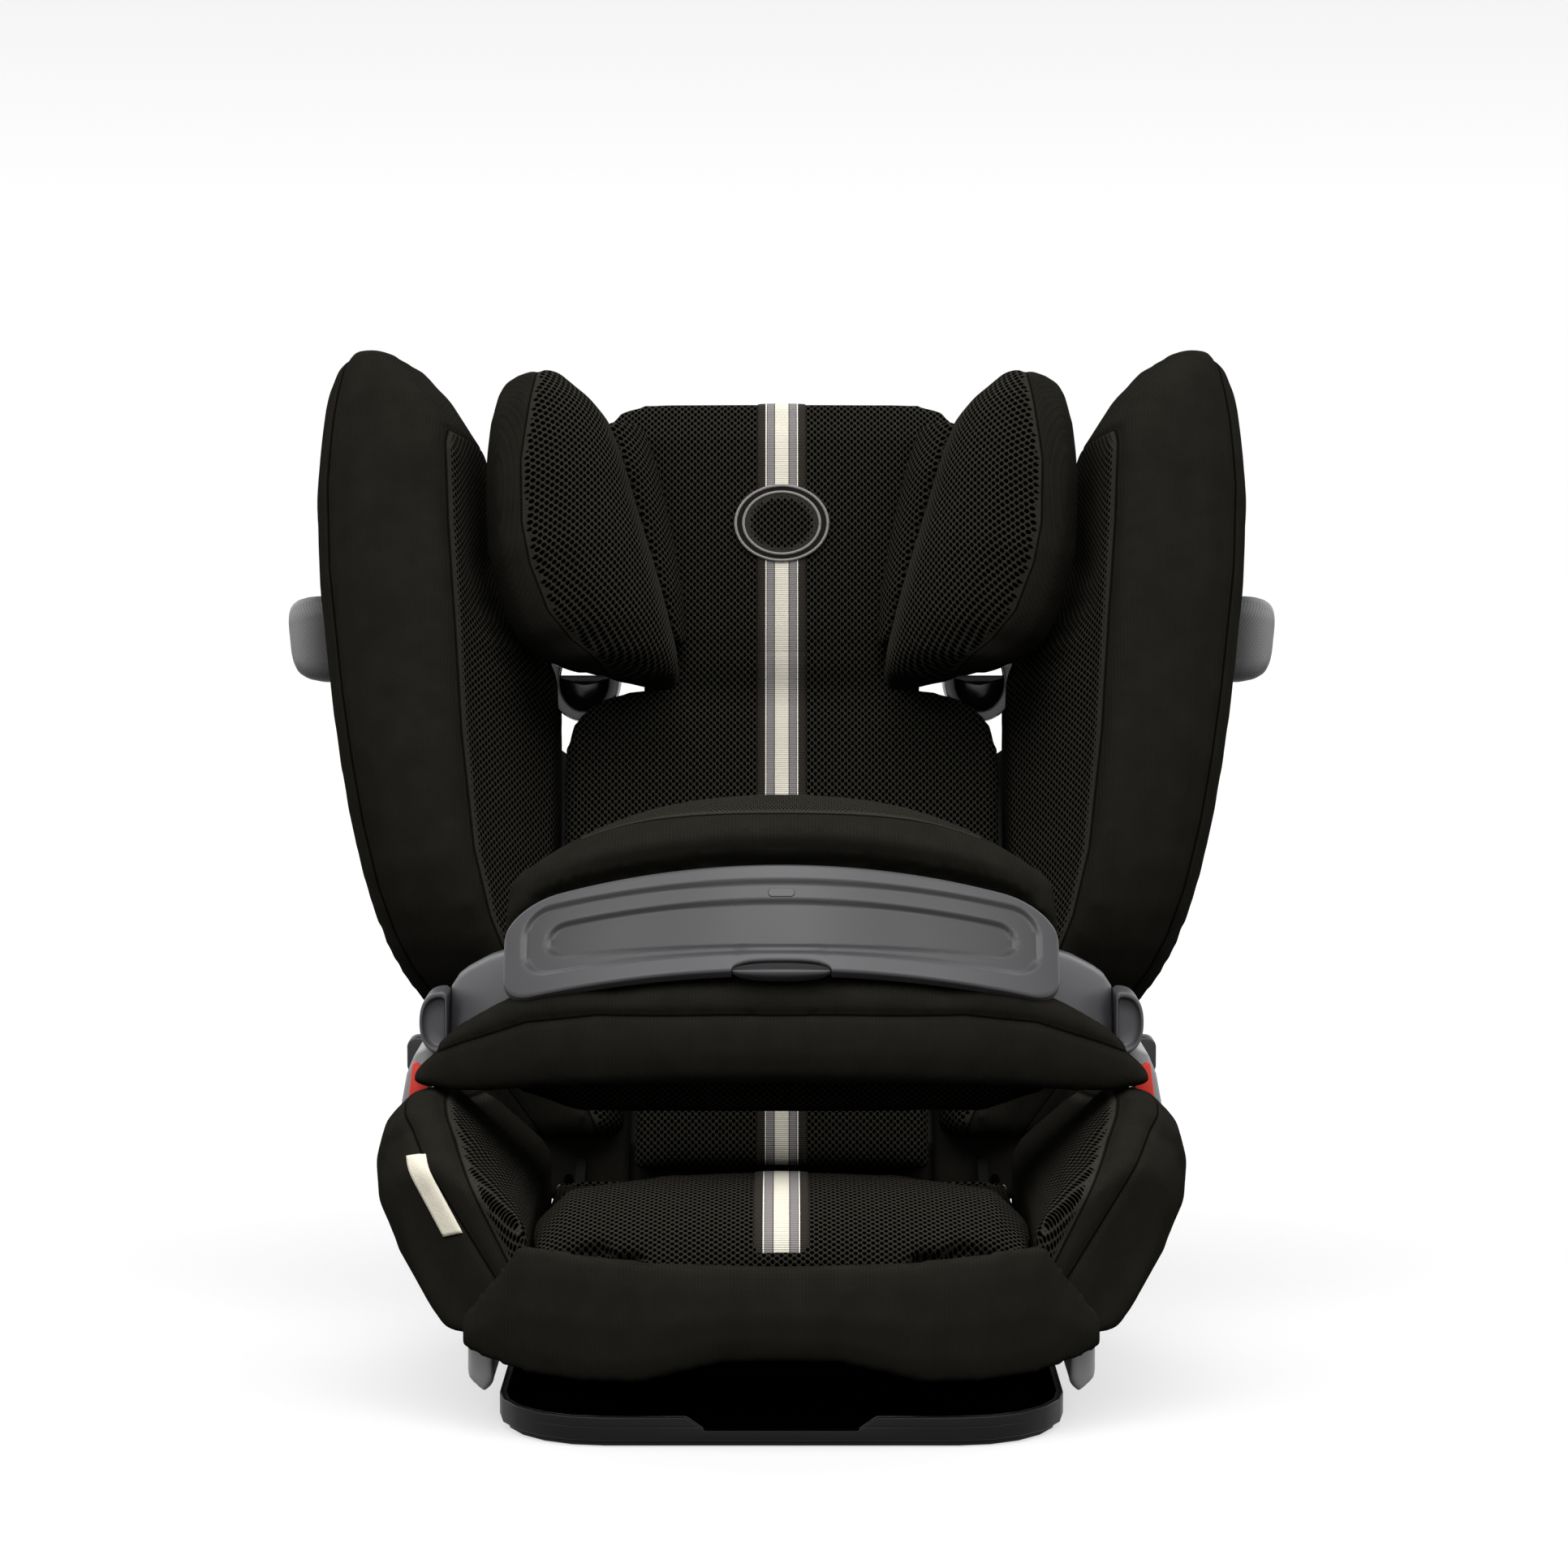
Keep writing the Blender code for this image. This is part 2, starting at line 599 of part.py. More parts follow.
def bolster_ring(y, top, outer, front=False):
    """The bolster's section at one depth: its top lowered, and its outer side drawn in, to fit."""
    ring = []
    for out, z in BOLSTER_SECTION:
        if z > 0.1130:
            z = 0.1130 + (z - 0.1130) * (top - 0.1130) / 0.0620
        if out > 0.047:
            out = 0.047 + (out - 0.047) * (outer - 0.047) / 0.047
        x = PAN_HALF_WIDTH + out
        depth = skirt_plan(x) + skirt_thickness(x) + GAP + y if front else y
        ring.append((x, depth, z))
    return ring


def make_bolsters(seat):
    """Padded sides of the booster. Behind the widest part they draw in, to make room for the belt guides."""
    for name, side in SIDES:
        rings = [bolster_ring(0.0, 0.1440, 0.0810, True), bolster_ring(0.006, 0.1500, 0.0870, True),
                 bolster_ring(0.018, 0.1590, 0.0920, True), bolster_ring(-0.128, 0.1700, 0.0935),
                 bolster_ring(-0.105, 0.1745, 0.0940), bolster_ring(-0.082, 0.1750, 0.0925),
                 bolster_ring(-0.064, 0.1740, 0.0770), bolster_ring(-0.030, 0.1650, 0.0770),
                 bolster_ring(0.010, 0.1620, 0.0770), bolster_ring(0.038, 0.1600, 0.0750),
                 bolster_ring(0.047, 0.1590, 0.0700)]
        closing = shrunk(rings[-1], 0.86, (0.0, 0.004, 0.0))
        rings = [mirrored([Vector(p) for p in ring], side) for ring in rings + [closing]]
        lofted(f"side_bolster_{name}", rings, BLACK_FABRIC, seat)


def make_belt_guides(seat):
    """Guides that hold the lap belt down beside the cushion, each with a coloured insert and a stop."""
    outer = [(0.0875, BELT_GUIDE_ROOT), (0.0875, 0.146), (0.0855, 0.162), (0.0825, 0.178), (0.0775, 0.190),
             (0.0710, 0.1935)]
    inner = [(0.0660, 0.1905), (0.0675, 0.176), (0.0720, 0.165), (0.0778, 0.148), (0.0778, BELT_GUIDE_ROOT)]
    insert = rounded([(0.0705, 0.165), (0.0815, 0.1625), (0.0785, 0.1865), (0.0690, 0.1800)], 0.0015, 2)
    stop = rounded(rectangle((0.0755, 0.166), (0.0890, 0.188)), 0.005)
    for name, side in SIDES:
        def sided(p, y, side=side):
            return (side * (PAN_HALF_WIDTH + p[0]), y, p[1])

        front = BELT_GUIDE_FRONT - GAP
        prism(f"belt_guide_{name}", outer + inner, sided, BELT_GUIDE_FRONT, BELT_GUIDE_REAR,
              LIGHT_GREY_PLASTIC, seat)
        prism(f"belt_guide_insert_{name}", insert, sided, front - RED_THICK, front, RED_PLASTIC, seat)
        rear = BELT_GUIDE_REAR + GAP
        prism(f"belt_stop_{name}", stop, sided, rear, rear + 0.016, BLACK_PLASTIC, seat)


def axle(name, plate, pin, half, thick, finish, frame, space=None):
    """A pin along X with an end plate at each side, as one body. Both outlines have as many points."""
    stations = [(-half - thick, plate), (-half, plate), (-half, pin), (half, pin), (half, plate),
                (half + thick, plate)]
    return lofted(name, [[(x, *p) for p in outline] for x, outline in stations], finish, frame, space, 30.0)


def make_pivot(seat):
    """The axle that the backrest turns on, whose end plates stand on the booster's pan."""
    floor = PAN_Z + SHELL_WALL + GAP
    plate = rounded([(0.120, 0.083), (0.120, 0.109), (0.092, 0.110), (0.050, 0.092), (0.046, floor),
                     (0.0775, floor)],
                    [0.008, 0.010, 0.010, 0.004, 0.001, 0.001])
    pin = circle((PIVOT_Y, PIVOT_Z), PIVOT_RADIUS, len(plate))
    axle("backrest_axle", plate, pin, PIVOT_HALF, BRACKET_THICK, STEEL, seat)


def make_recline_handle(seat):
    """A pull paddle under the front edge, on a plate that slides below the pan."""
    frame = empty("recline_handle_frame", (0.0, HANDLE_FRONT - RECLINE_Y, PAN_Z - RECLINE_Z), seat)
    top, low, front = PAN_Z - RUNNING_GAP, PAN_Z - 0.0062, HANDLE_FRONT
    profile = [(front, HANDLE_BOTTOM + 0.002), (front + 0.002, HANDLE_BOTTOM), (front + 0.005, HANDLE_BOTTOM),
               (front + 0.007, HANDLE_BOTTOM + 0.002), (front + 0.007, low), (-0.090, low), (-0.090, top),
               (front + 0.004, top), (front, top - 0.004)]
    prism("recline_handle", profile, along_x, -HANDLE_HALF, HANDLE_HALF, GREY_PLASTIC, frame)


# Impact shield

def shield_edges(x):
    """The front panel's lower and upper edge at this x, as points in the Y-Z plane."""
    q = (x / PANEL_HALF) ** 2
    low = Vector(PANEL_LOW).lerp(Vector(PANEL_LOW_ENDS), q)
    high = Vector(PANEL_HIGH).lerp(Vector(PANEL_HIGH_ENDS), q)
    return low, high


def shield_point(x, along, behind):
    """A point given by its distance up the panel from its lower edge, and behind its face."""
    low, high = shield_edges(x)
    up = (high - low).normalized()
    back = Vector((up.y, -up.x))
    p = low + up * along + back * behind
    return Vector((x, p.x, p.y))


def panel_height(x):
    low, high = shield_edges(x)
    return (high - low).length


def band_ring(x):
    """The band's section: behind the panel in the middle, an upright strap where it comes out as an arm."""
    near = PANEL_THICK + 0.0009
    shape = [(BAND_LOW, near), (BAND_HIGH, near), (BAND_HIGH, PANEL_THICK + BAND_THICK),
             (BAND_LOW, PANEL_THICK + BAND_THICK)]
    hidden = [shield_point(x, *p) for p in shape]
    out = abs(x) - ARM_START
    y, z = ARM_LOW[0] + (1.12 if out > 0.0 else 0.55) * out, ARM_LOW[1] - (0.72 if out > 0.0 else 0.50) * out
    slant = 0.0205 - 0.38 * max(0.0, out)
    strap = [(y, z), (y + slant, z + ARM_HEIGHT), (y + slant + 0.006, z + ARM_HEIGHT), (y + 0.009, z)]
    mix = max(0.0, min(1.0, (abs(x) - ARM_ROOT) / (ARM_START - ARM_ROOT)))
    mix = mix * mix * (3.0 - 2.0 * mix)
    return [a.lerp(Vector((x, *b)), mix) for a, b in zip(hidden, strap)]


def panel_trims(x):
    """How far the panel's rounded corners draw in its lower and its upper edge at this x."""
    inward = PANEL_HALF - abs(x)
    low = max(0.0, 1.0 - inward / PANEL_LOW_CORNER[0])
    high = max(0.0, 1.0 - inward / PANEL_HIGH_CORNER[0])
    return PANEL_LOW_CORNER[1] * low ** 2, PANEL_HIGH_CORNER[1] * (1.0 - math.sqrt(1.0 - min(1.0, high) ** 2))


def panel_ring(x):
    """The front panel's section: two nested recesses that close in a round before the panel's ends."""
    bottom, drop = panel_trims(x)
    top = panel_height(x) - drop
    height = top - bottom
    open_1 = math.sqrt(max(0.0, 1.0 - (abs(x) / (RECESS_1 * PANEL_HALF)) ** 5))
    open_2 = math.sqrt(max(0.0, 1.0 - (abs(x) / (RECESS_2 * PANEL_HALF)) ** 5))
    a, mid = max(0.0050, 0.36 * height * open_1), bottom + 0.52 * height
    depth_1, depth_2 = PANEL_RECESS * min(1.0, 3.0 * open_1), PANEL_RECESS * min(1.0, 3.0 * open_2)
    low = max(0.0015, min(0.21 * height * open_2, a - 0.0030))
    shape = [(bottom, PANEL_THICK), (bottom, 0.0015), (bottom + 0.0015, 0.0), (mid - a - 0.0018, 0.0),
             (mid - a, 0.6 * depth_1), (mid - low - 0.0015, depth_1), (mid - low, depth_1 + depth_2),
             (mid + low, depth_1 + depth_2), (mid + low + 0.0015, depth_1), (mid + a, 0.6 * depth_1),
             (mid + a + 0.0018, 0.0), (top - 0.0015, 0.0), (top, 0.0015), (top, PANEL_THICK)]
    return [shield_point(x, *p) for p in shape]


def make_shield_frame(shield):
    """The rigid part: a band with arms, a front panel with nested recesses, and caps on the arms' ends."""
    rings = [band_ring(x) for x in spread(-BAND_HALF, BAND_HALF, 31)]
    lofted("shield_band", rings, GREY_PLASTIC, shield)
    inward = [0.135, 0.120, 0.100, 0.080, 0.060, 0.045, 0.036, 0.030, 0.0265, 0.022, 0.017, 0.0125, 0.0092,
              0.0055, 0.002, 0.0]
    right = [PANEL_HALF * (1.0 - k / 0.150) for k in inward]
    rings = [panel_ring(x) for x in [-x for x in reversed(right)] + [0.0] + right]
    panel = lofted("shield_panel", rings, GREY_PLASTIC, shield, smooth_angle=30.0)
    notch = [(-0.02, -0.01), (LEVER_TOP + 0.0006, -0.01), (LEVER_TOP + 0.0006, 0.02), (-0.02, 0.02)]
    edge = LEVER_HALF + 0.0006
    cut(panel, "lever_notch", *prism_faces(notch, middle_place, -edge, edge))

    outline = [(0.1876, 0.1950), (0.1930, 0.1940), (0.1985, 0.1975), (0.2025, 0.2050), (0.2035, 0.2130),
               (0.2015, 0.2205), (0.1970, 0.2262), (0.1920, 0.2285), (0.1876, 0.2285)]
    cup = [(0.1895, 0.1970), (0.1930, 0.1965), (0.1972, 0.1995), (0.2003, 0.2060), (0.2010, 0.2128),
           (0.1993, 0.2190), (0.1957, 0.2238), (0.1918, 0.2257), (0.1895, 0.2257)]
    for name, side in SIDES:
        def sided(p, y, side=side):
            return (side * p[0], y, p[1])

        cap = prism(f"shield_cap_{name}", outline, sided, CAP_FRONT, CAP_REAR, GREY_PLASTIC, shield)
        cut(cap, f"cap_cup_{name}", *prism_faces(cup, sided, CAP_FRONT - 0.01, CAP_FRONT + 0.004))


def middle_place(p, x):
    """An outline in the panel's own middle section, extruded along X."""
    point = shield_point(0.0, *p)
    return (x, point.y, point.z)


def make_shield_lever(shield):
    """The release under the middle of the panel: it pulls straight out of its notch."""
    low = shield_point(0.0, 0.0, 0.0)
    frame = empty("shield_lever_frame", low - shield.location, shield)
    shape = [(-0.0032, 0.0060), (-0.0032, -0.0030), (-0.0018, -0.0042), (0.0030, -0.0042),
             (LEVER_TOP, -0.0020), (LEVER_TOP, 0.0060)]

    prism("shield_lever", shape, middle_place, -LEVER_HALF, LEVER_HALF, DARK_GREY_PLASTIC, frame)


LOWER_PAD_TOP = [(0.0, 0.2490), (0.060, 0.2465), (0.110, 0.2375), (0.130, 0.2310), (0.150, 0.2213),
                 (0.175, 0.2038), (0.187, 0.1950), (0.200, 0.1848)]
LOWER_PAD_BOTTOM = [(0.0, 0.1930), (0.060, 0.1910), (0.120, 0.1850), (0.160, 0.1785), (0.180, 0.1756),
                    (0.200, 0.1758)]


def lower_pad_plan(x):
    """The lower pad's front and its thickness at this x."""
    q = (x / LOWER_PAD_HALF) ** 2
    return -0.188 + 0.105 * q, 0.034 - 0.010 * q


def make_lower_pad(shield):
    """The padded front of the shield, below its panel and arms."""
    rings = []
    for x in spread(-LOWER_PAD_HALF + 0.006, LOWER_PAD_HALF - 0.006, 23):
        front, depth = lower_pad_plan(x)
        top, bottom = blend(LOWER_PAD_TOP, abs(x)), blend(LOWER_PAD_BOTTOM, abs(x))
        h = top - bottom
        seam = bottom + 0.70 * h
        face = [(front + 0.30 * depth, bottom), (front + 0.08 * depth, bottom + 0.10 * h),
                (front - 0.001, bottom + 0.32 * h), (front - 0.001, bottom + 0.52 * h),
                (front + 0.0012, seam), (front + 0.0002, bottom + 0.82 * h),
                (front + 0.10 * depth, bottom + 0.94 * h), (front + 0.34 * depth, top)]
        rear = [(front + depth, top - 0.15 * h), (front + depth, bottom + 0.15 * h)]
        back_top, back_low = (front + 0.8 * depth, top), (front + 0.8 * depth, bottom)
        rings.append([Vector((x, y, z)) for y, z in face + [back_top] + rear + [back_low]])
    lofted("shield_lower_pad", soft_ends(rings, (1.0, 0.0, 0.0), 0.006), BLACK_FABRIC, shield)


def make_shield_pad(shield):
    """The pad on the child's side, which moves in and out on two rods of the band."""
    frame = empty("shield_pad_frame", (0.0, 0.0, 0.0), shield)
    rings = []
    for x in spread(-TOP_PAD_HALF + 0.006, TOP_PAD_HALF - 0.006, 25):
        q = (abs(x) / TOP_PAD_HALF) ** 2
        height = panel_height(x) - panel_trims(x)[1]
        band = band_ring(x)
        clear, t = Vector((0.0, 0.0030, 0.0024)) * (1.0 + q ** 4), PANEL_THICK + 0.0016
        lip = [band[3].lerp(band[2], 0.3) + clear, band[2] + clear, band[1] + clear,
               shield_point(x, height + 0.0019, t), shield_point(x, height + 0.0019, -0.0005)]
        crest_z = 0.3405 - 0.052 * q ** 1.2
        start = lip[-1]
        rise = crest_z - start.z
        over = [(start.y + 0.010, start.z + 0.55 * rise), (-0.1150 + 0.030 * q, crest_z - 0.12 * rise),
                (-0.0870 + 0.016 * q, crest_z), (-0.0620 + 0.006 * q, crest_z - 0.008),
                (-0.0470, crest_z - 0.024), (-0.0430, crest_z - 0.056), (-0.0435, 0.2350 - 0.004 * q),
                (-0.0460, 0.1900), (-0.0530, 0.1730), (-0.0640, 0.1680), (-0.0760, 0.1735 + 0.004 * q)]
        behind = sum(lower_pad_plan(x)) + 0.0010
        below = [(-0.0840, 0.2010 - 0.002 * q), (behind, 0.2080 - 0.004 * q),
                 (behind, blend(LOWER_PAD_TOP, abs(x)) + 0.0012)]
        rings.append(lip + [Vector((x, y, z)) for y, z in over + below])
    pad = lofted("shield_pad", soft_ends(rings, (1.0, 0.0, 0.0), 0.006), BLACK_FABRIC, frame)
    for name, side in SIDES:
        x = side * ROD_X
        start = ROD_FRONT

        def shifted(p, y, x=x):
            return (x + p[0], y, ROD_Z + p[1])

        bore = circle((0.0, 0.0), ROD_RADIUS + 0.0010, 16)
        cut(pad, f"rod_bore_{name}", *prism_faces(bore, shifted, start - 0.03, ROD_REAR + 0.004))
        prism(f"shield_rod_{name}", circle((0.0, 0.0), ROD_RADIUS, 16), shifted, start, ROD_REAR, STEEL,
              shield)


# Backrest

def make_back_plate(back):
    """A plate on the pivot's barrel: wide below, a spine up the middle, slots beside it for the carriage."""
    w, s, slot = PLATE_HALF, SPINE_HALF, SPINE_HALF + SLOT_WIDTH
    half = [(PIVOT_BARREL_HALF, 0.0108), (PIVOT_BARREL_HALF, 0.050), (w, 0.072), (w, PLATE_SHOULDER - 0.020),
            (w - 0.020, PLATE_SHOULDER), (slot, PLATE_SHOULDER), (slot, SLOT_BOTTOM), (s, SLOT_BOTTOM),
            (s, SPINE_TOP - 0.010), (s - 0.010, SPINE_TOP)]
    outline = half + [(-x, u) for x, u in reversed(half)]
    prism("back_plate", outline, along_y, PLATE_Y, PLATE_Y + PLATE_THICK, BLACK_PLASTIC, back, back)
    tube_x("pivot_barrel", (0.0, 0.0), PIVOT_BARREL, PIVOT_RADIUS + RUNNING_GAP, -PIVOT_BARREL_HALF,
           PIVOT_BARREL_HALF, BLACK_PLASTIC, back, back)
    teeth = []
    low = CARRIAGE_BOTTOM + 0.020
    front, root = PLATE_Y - GAP - 0.0070, PLATE_Y - GAP - 0.0030
    for i in range(RACK_STEPS + 1):
        u = low + i * RACK_PITCH
        teeth += [(front, u), (front, u + 0.009)]
        if i < RACK_STEPS:
            teeth += [(root, u + 0.011), (root, u + RACK_PITCH)]
    outline = [(PLATE_Y - GAP, low)] + teeth + [(PLATE_Y - GAP, teeth[-1][1])]
    prism("height_rack", outline, along_x, -RACK_HALF, RACK_HALF, DARK_GREY_PLASTIC, back, back)


def make_lumbar_pad(back):
    """The fixed pad low on the back: a thick roll below, and a thin board behind the panel that rises."""
    levels = [(-0.006, -0.0400, -0.0500), (-0.002, -0.0240, -0.0560), (0.006, -0.0170, -0.0590),
              (0.025, -0.0126, LUMBAR_FRONT), (0.055, -0.0126, LUMBAR_FRONT - 0.0005),
              (0.072, -0.0126, -0.0590), (0.079, -0.0145, -0.0550), (0.0835, -0.0345, -0.0460),
              (0.096, -0.0355, LUMBAR_BOARD_FRONT), (0.180, -0.0355, LUMBAR_BOARD_FRONT),
              (0.262, -0.0355, LUMBAR_BOARD_FRONT), (LUMBAR_TOP, -0.0375, -0.0440)]
    rings = []
    for u, rear, front in levels:
        half = LUMBAR_HALF
        deep = rear - front
        crown = 0.10 * deep
        face = [(-half, front + 0.45 * deep), (-half + 0.004, front + 0.16 * deep),
                (-0.72 * half, front + crown * 0.35), (-0.36 * half, front), (0.0, front),
                (0.36 * half, front), (0.72 * half, front + crown * 0.35),
                (half - 0.004, front + 0.16 * deep), (half, front + 0.45 * deep)]
        rest = [(half, rear), (0.5 * half, rear), (0.0, rear), (-0.5 * half, rear), (-half, rear)]
        rings.append([(x, y, u) for x, y in face + rest])
    lofted("lumbar_pad", rings, BLACK_FABRIC, back, back)


# The wings, by height: outer side, inner front edge, inner rear edge, depth of the front, and of the back
WING_OUTER = [(0.014, 0.1520), (0.050, 0.1800), (0.062, 0.1880), (0.078, 0.2005), (0.091, 0.2131),
              (0.108, 0.2268), (0.126, 0.2365), (0.153, 0.2462), (0.191, 0.2555), (0.229, 0.2624),
              (0.268, 0.2684), (0.344, 0.2775), (0.395, 0.2800), (0.436, 0.2780), (0.456, 0.2765),
              (0.474, 0.2735), (0.484, 0.2690)]
WING_FRONT_INNER = [(0.014, 0.1100), (0.050, 0.1250), (0.062, 0.1320), (0.078, 0.1440), (0.096, 0.1570),
                    (0.111, 0.1615), (0.135, 0.1712), (0.173, 0.1803), (0.241, 0.1880), (0.309, 0.1929),
                    (0.369, 0.1977), (0.4185, 0.2004), (0.441, 0.2095), (0.459, 0.2243), (0.480, 0.2440)]
WING_REAR_INNER = [(0.014, 0.0950), (0.079, 0.0950), (0.0875, 0.1250), (0.100, 0.1300), (0.130, 0.1365),
                   (0.306, 0.1372), (0.314, 0.1440), (0.322, 0.1530), (0.334, 0.1650), (0.345, 0.1725),
                   (0.360, 0.1785), (0.405, 0.1800), (0.420, 0.1810), (0.434, 0.1840), (0.445, 0.1915),
                   (0.463, 0.2025), (0.481, 0.2210)]
WING_DEPTH = [(0.014, -0.050), (0.050, -0.054), (0.062, -0.066), (0.078, -0.082), (0.096, -0.104),
              (0.115, -0.123), (0.150, -0.142), (0.220, -0.155), (0.330, -0.160), (0.420, -0.156),
              (0.455, -0.146), (0.480, -0.128)]
WING_BACK = [(0.014, -0.0140), (0.101, -0.0140), (0.106, -0.0075), (0.262, -0.0075), (0.330, -0.018),
             (0.420, -0.030), (0.480, -0.060)]


def wing_lip(u):
    """Depth at which the wing's shell ends and its pad comes out to the side."""
    return max(-0.0905, blend(WING_DEPTH, u) + wing_rim(u))


def wing_rim(u):
    """How far behind its front the pad's outer rim reaches: less in the tail beside the lumbar pad."""
    return blend([(0.014, 0.030), (0.044, 0.032), (0.056, 0.050)], u)


def wing_values(u):
    tables = (WING_OUTER, WING_FRONT_INNER, WING_REAR_INNER, WING_DEPTH, WING_BACK)
    return [blend(table, u) for table in tables]


def make_wings(back):
    """Side wings of the backrest: a thin shell, a thick pad inside it, and a protector on the outer face."""
    levels = [0.022, 0.033, 0.044, 0.056, 0.066, 0.078, 0.0875, 0.1005, 0.106, 0.120, 0.140, 0.165, 0.195,
              0.230, 0.262, 0.285, 0.304, 0.318, 0.335, 0.360, 0.390, 0.415, 0.434, 0.450, 0.465, 0.476]
    for name, side in SIDES:
        pad, shell = [], []
        for u in levels:
            outer, front, rear, depth, rear_y = wing_values(u)
            inset, wide, deep, lip = 0.0105, outer - front, depth - rear_y, wing_lip(u)
            rim, run = wing_rim(u), outer - rear
            relief = blend([(0.285, 0.002), (0.298, 0.009), (0.322, 0.009), (0.345, 0.002)], u)
            section = [(rear, rear_y), (rear, rear_y + 0.21 * deep), (rear + relief, rear_y + 0.29 * deep),
                       (front - 0.006, depth - 0.17 * deep), (front, depth - 0.05 * deep),
                       (front + 0.14 * wide, depth), (front + 0.42 * wide, depth + 0.002),
                       (front + 0.70 * wide, depth + 0.010), (outer - 0.006, depth + 0.48 * rim),
                       (outer, depth + 0.84 * rim), (outer - 0.001, lip)]
            behind = [(outer - inset, lip + 0.0015), (outer - inset - 0.002, 0.66 * lip),
                      (outer - inset - 0.026, 0.34 * lip + 0.6 * min(0.0, rear_y + 0.0075)),
                      (0.5 * (rear + outer) + 0.008, rear_y - 0.004), (rear + 0.018, rear_y)]
            tail = [(outer - share * run, rear_y - 0.002) for share in (0.10, 0.25, 0.45, 0.65, 0.85)]
            settled = max(0.0, min(1.0, (u - 0.044) / 0.012))
            section += [Vector(a).lerp(Vector(b), settled) for a, b in zip(tail, behind)]
            pad.append([Vector((side * x, y, u)) for x, y in section])
        pad = soft_ends(pad, (0.0, 0.0, 1.0), 0.008)
        lofted(f"wing_pad_{name}", pad, BLACK_FABRIC, back, back)
        for u in [0.104, 0.130, 0.165, 0.200, 0.236, 0.262, 0.290, 0.320, 0.350, 0.390, 0.425, 0.450, 0.464]:
            outer, front, rear, depth, rear_y = wing_values(u)
            inner = blend([(0.104, 0.104), (0.236, 0.104), (0.262, 0.142), (0.300, 0.166), (0.340, 0.186),
                           (0.434, 0.198), (0.464, 0.226)], u)
            lift, lip = min(0.0, rear_y + 0.0075) if u > 0.2 else 0.0, wing_lip(u)
            middle = 0.5 * (max(rear, inner) + outer) + 0.010
            skin = [(inner, -0.0055 + 0.6 * lift), (inner + 0.5 * (middle - inner), -0.0052 + 0.8 * lift),
                    (middle, -0.0057 + lift), (outer - 0.0332, 0.28 * lip + 0.5 * lift),
                    (outer - 0.0098, 0.64 * lip), (outer - 0.0084, lip + 0.0024)]
            thick = 0.0035
            turns = [(0.0, 1.0), (0.10, 1.0), (0.25, 0.97), (0.66, 0.75), (0.94, 0.34), (1.0, 0.05)]
            outside = [(x + thick * tx, y + thick * ty) for (x, y), (tx, ty) in zip(skin, turns)]
            shell.append([Vector((side * x, y, u)) for x, y in skin + outside[::-1]])
        lofted(f"wing_shell_{name}", shell, BLACK_PLASTIC, back, back)

        rings = []
        for out, scale in ((0.0, 1.0), (0.012, 1.0), (0.021, 0.93), (0.0265, 0.80), (0.0290, 0.58),
                           (0.0298, 0.30)):
            ring = []
            for y, u in rounded([(-0.0860, 0.284), (-0.0600, 0.290), (-0.0600, 0.338), (-0.0860, 0.346)],
                                [0.008, 0.008, 0.012, 0.014], 3):
                v = Vector((-0.0735, 0.315)) + (Vector((y, u)) - Vector((-0.0735, 0.315))) * scale
                base = blend(WING_OUTER, v.y) - 0.0037 - 0.0022 * max(0.0, (v.x + 0.0890) / 0.0305)
                ring.append(Vector((side * (base + out), v.x, v.y)))
            rings.append(ring)
        lofted(f"side_protector_{name}", rings, LIGHT_GREY_PLASTIC, back, back)


# Headrest carriage

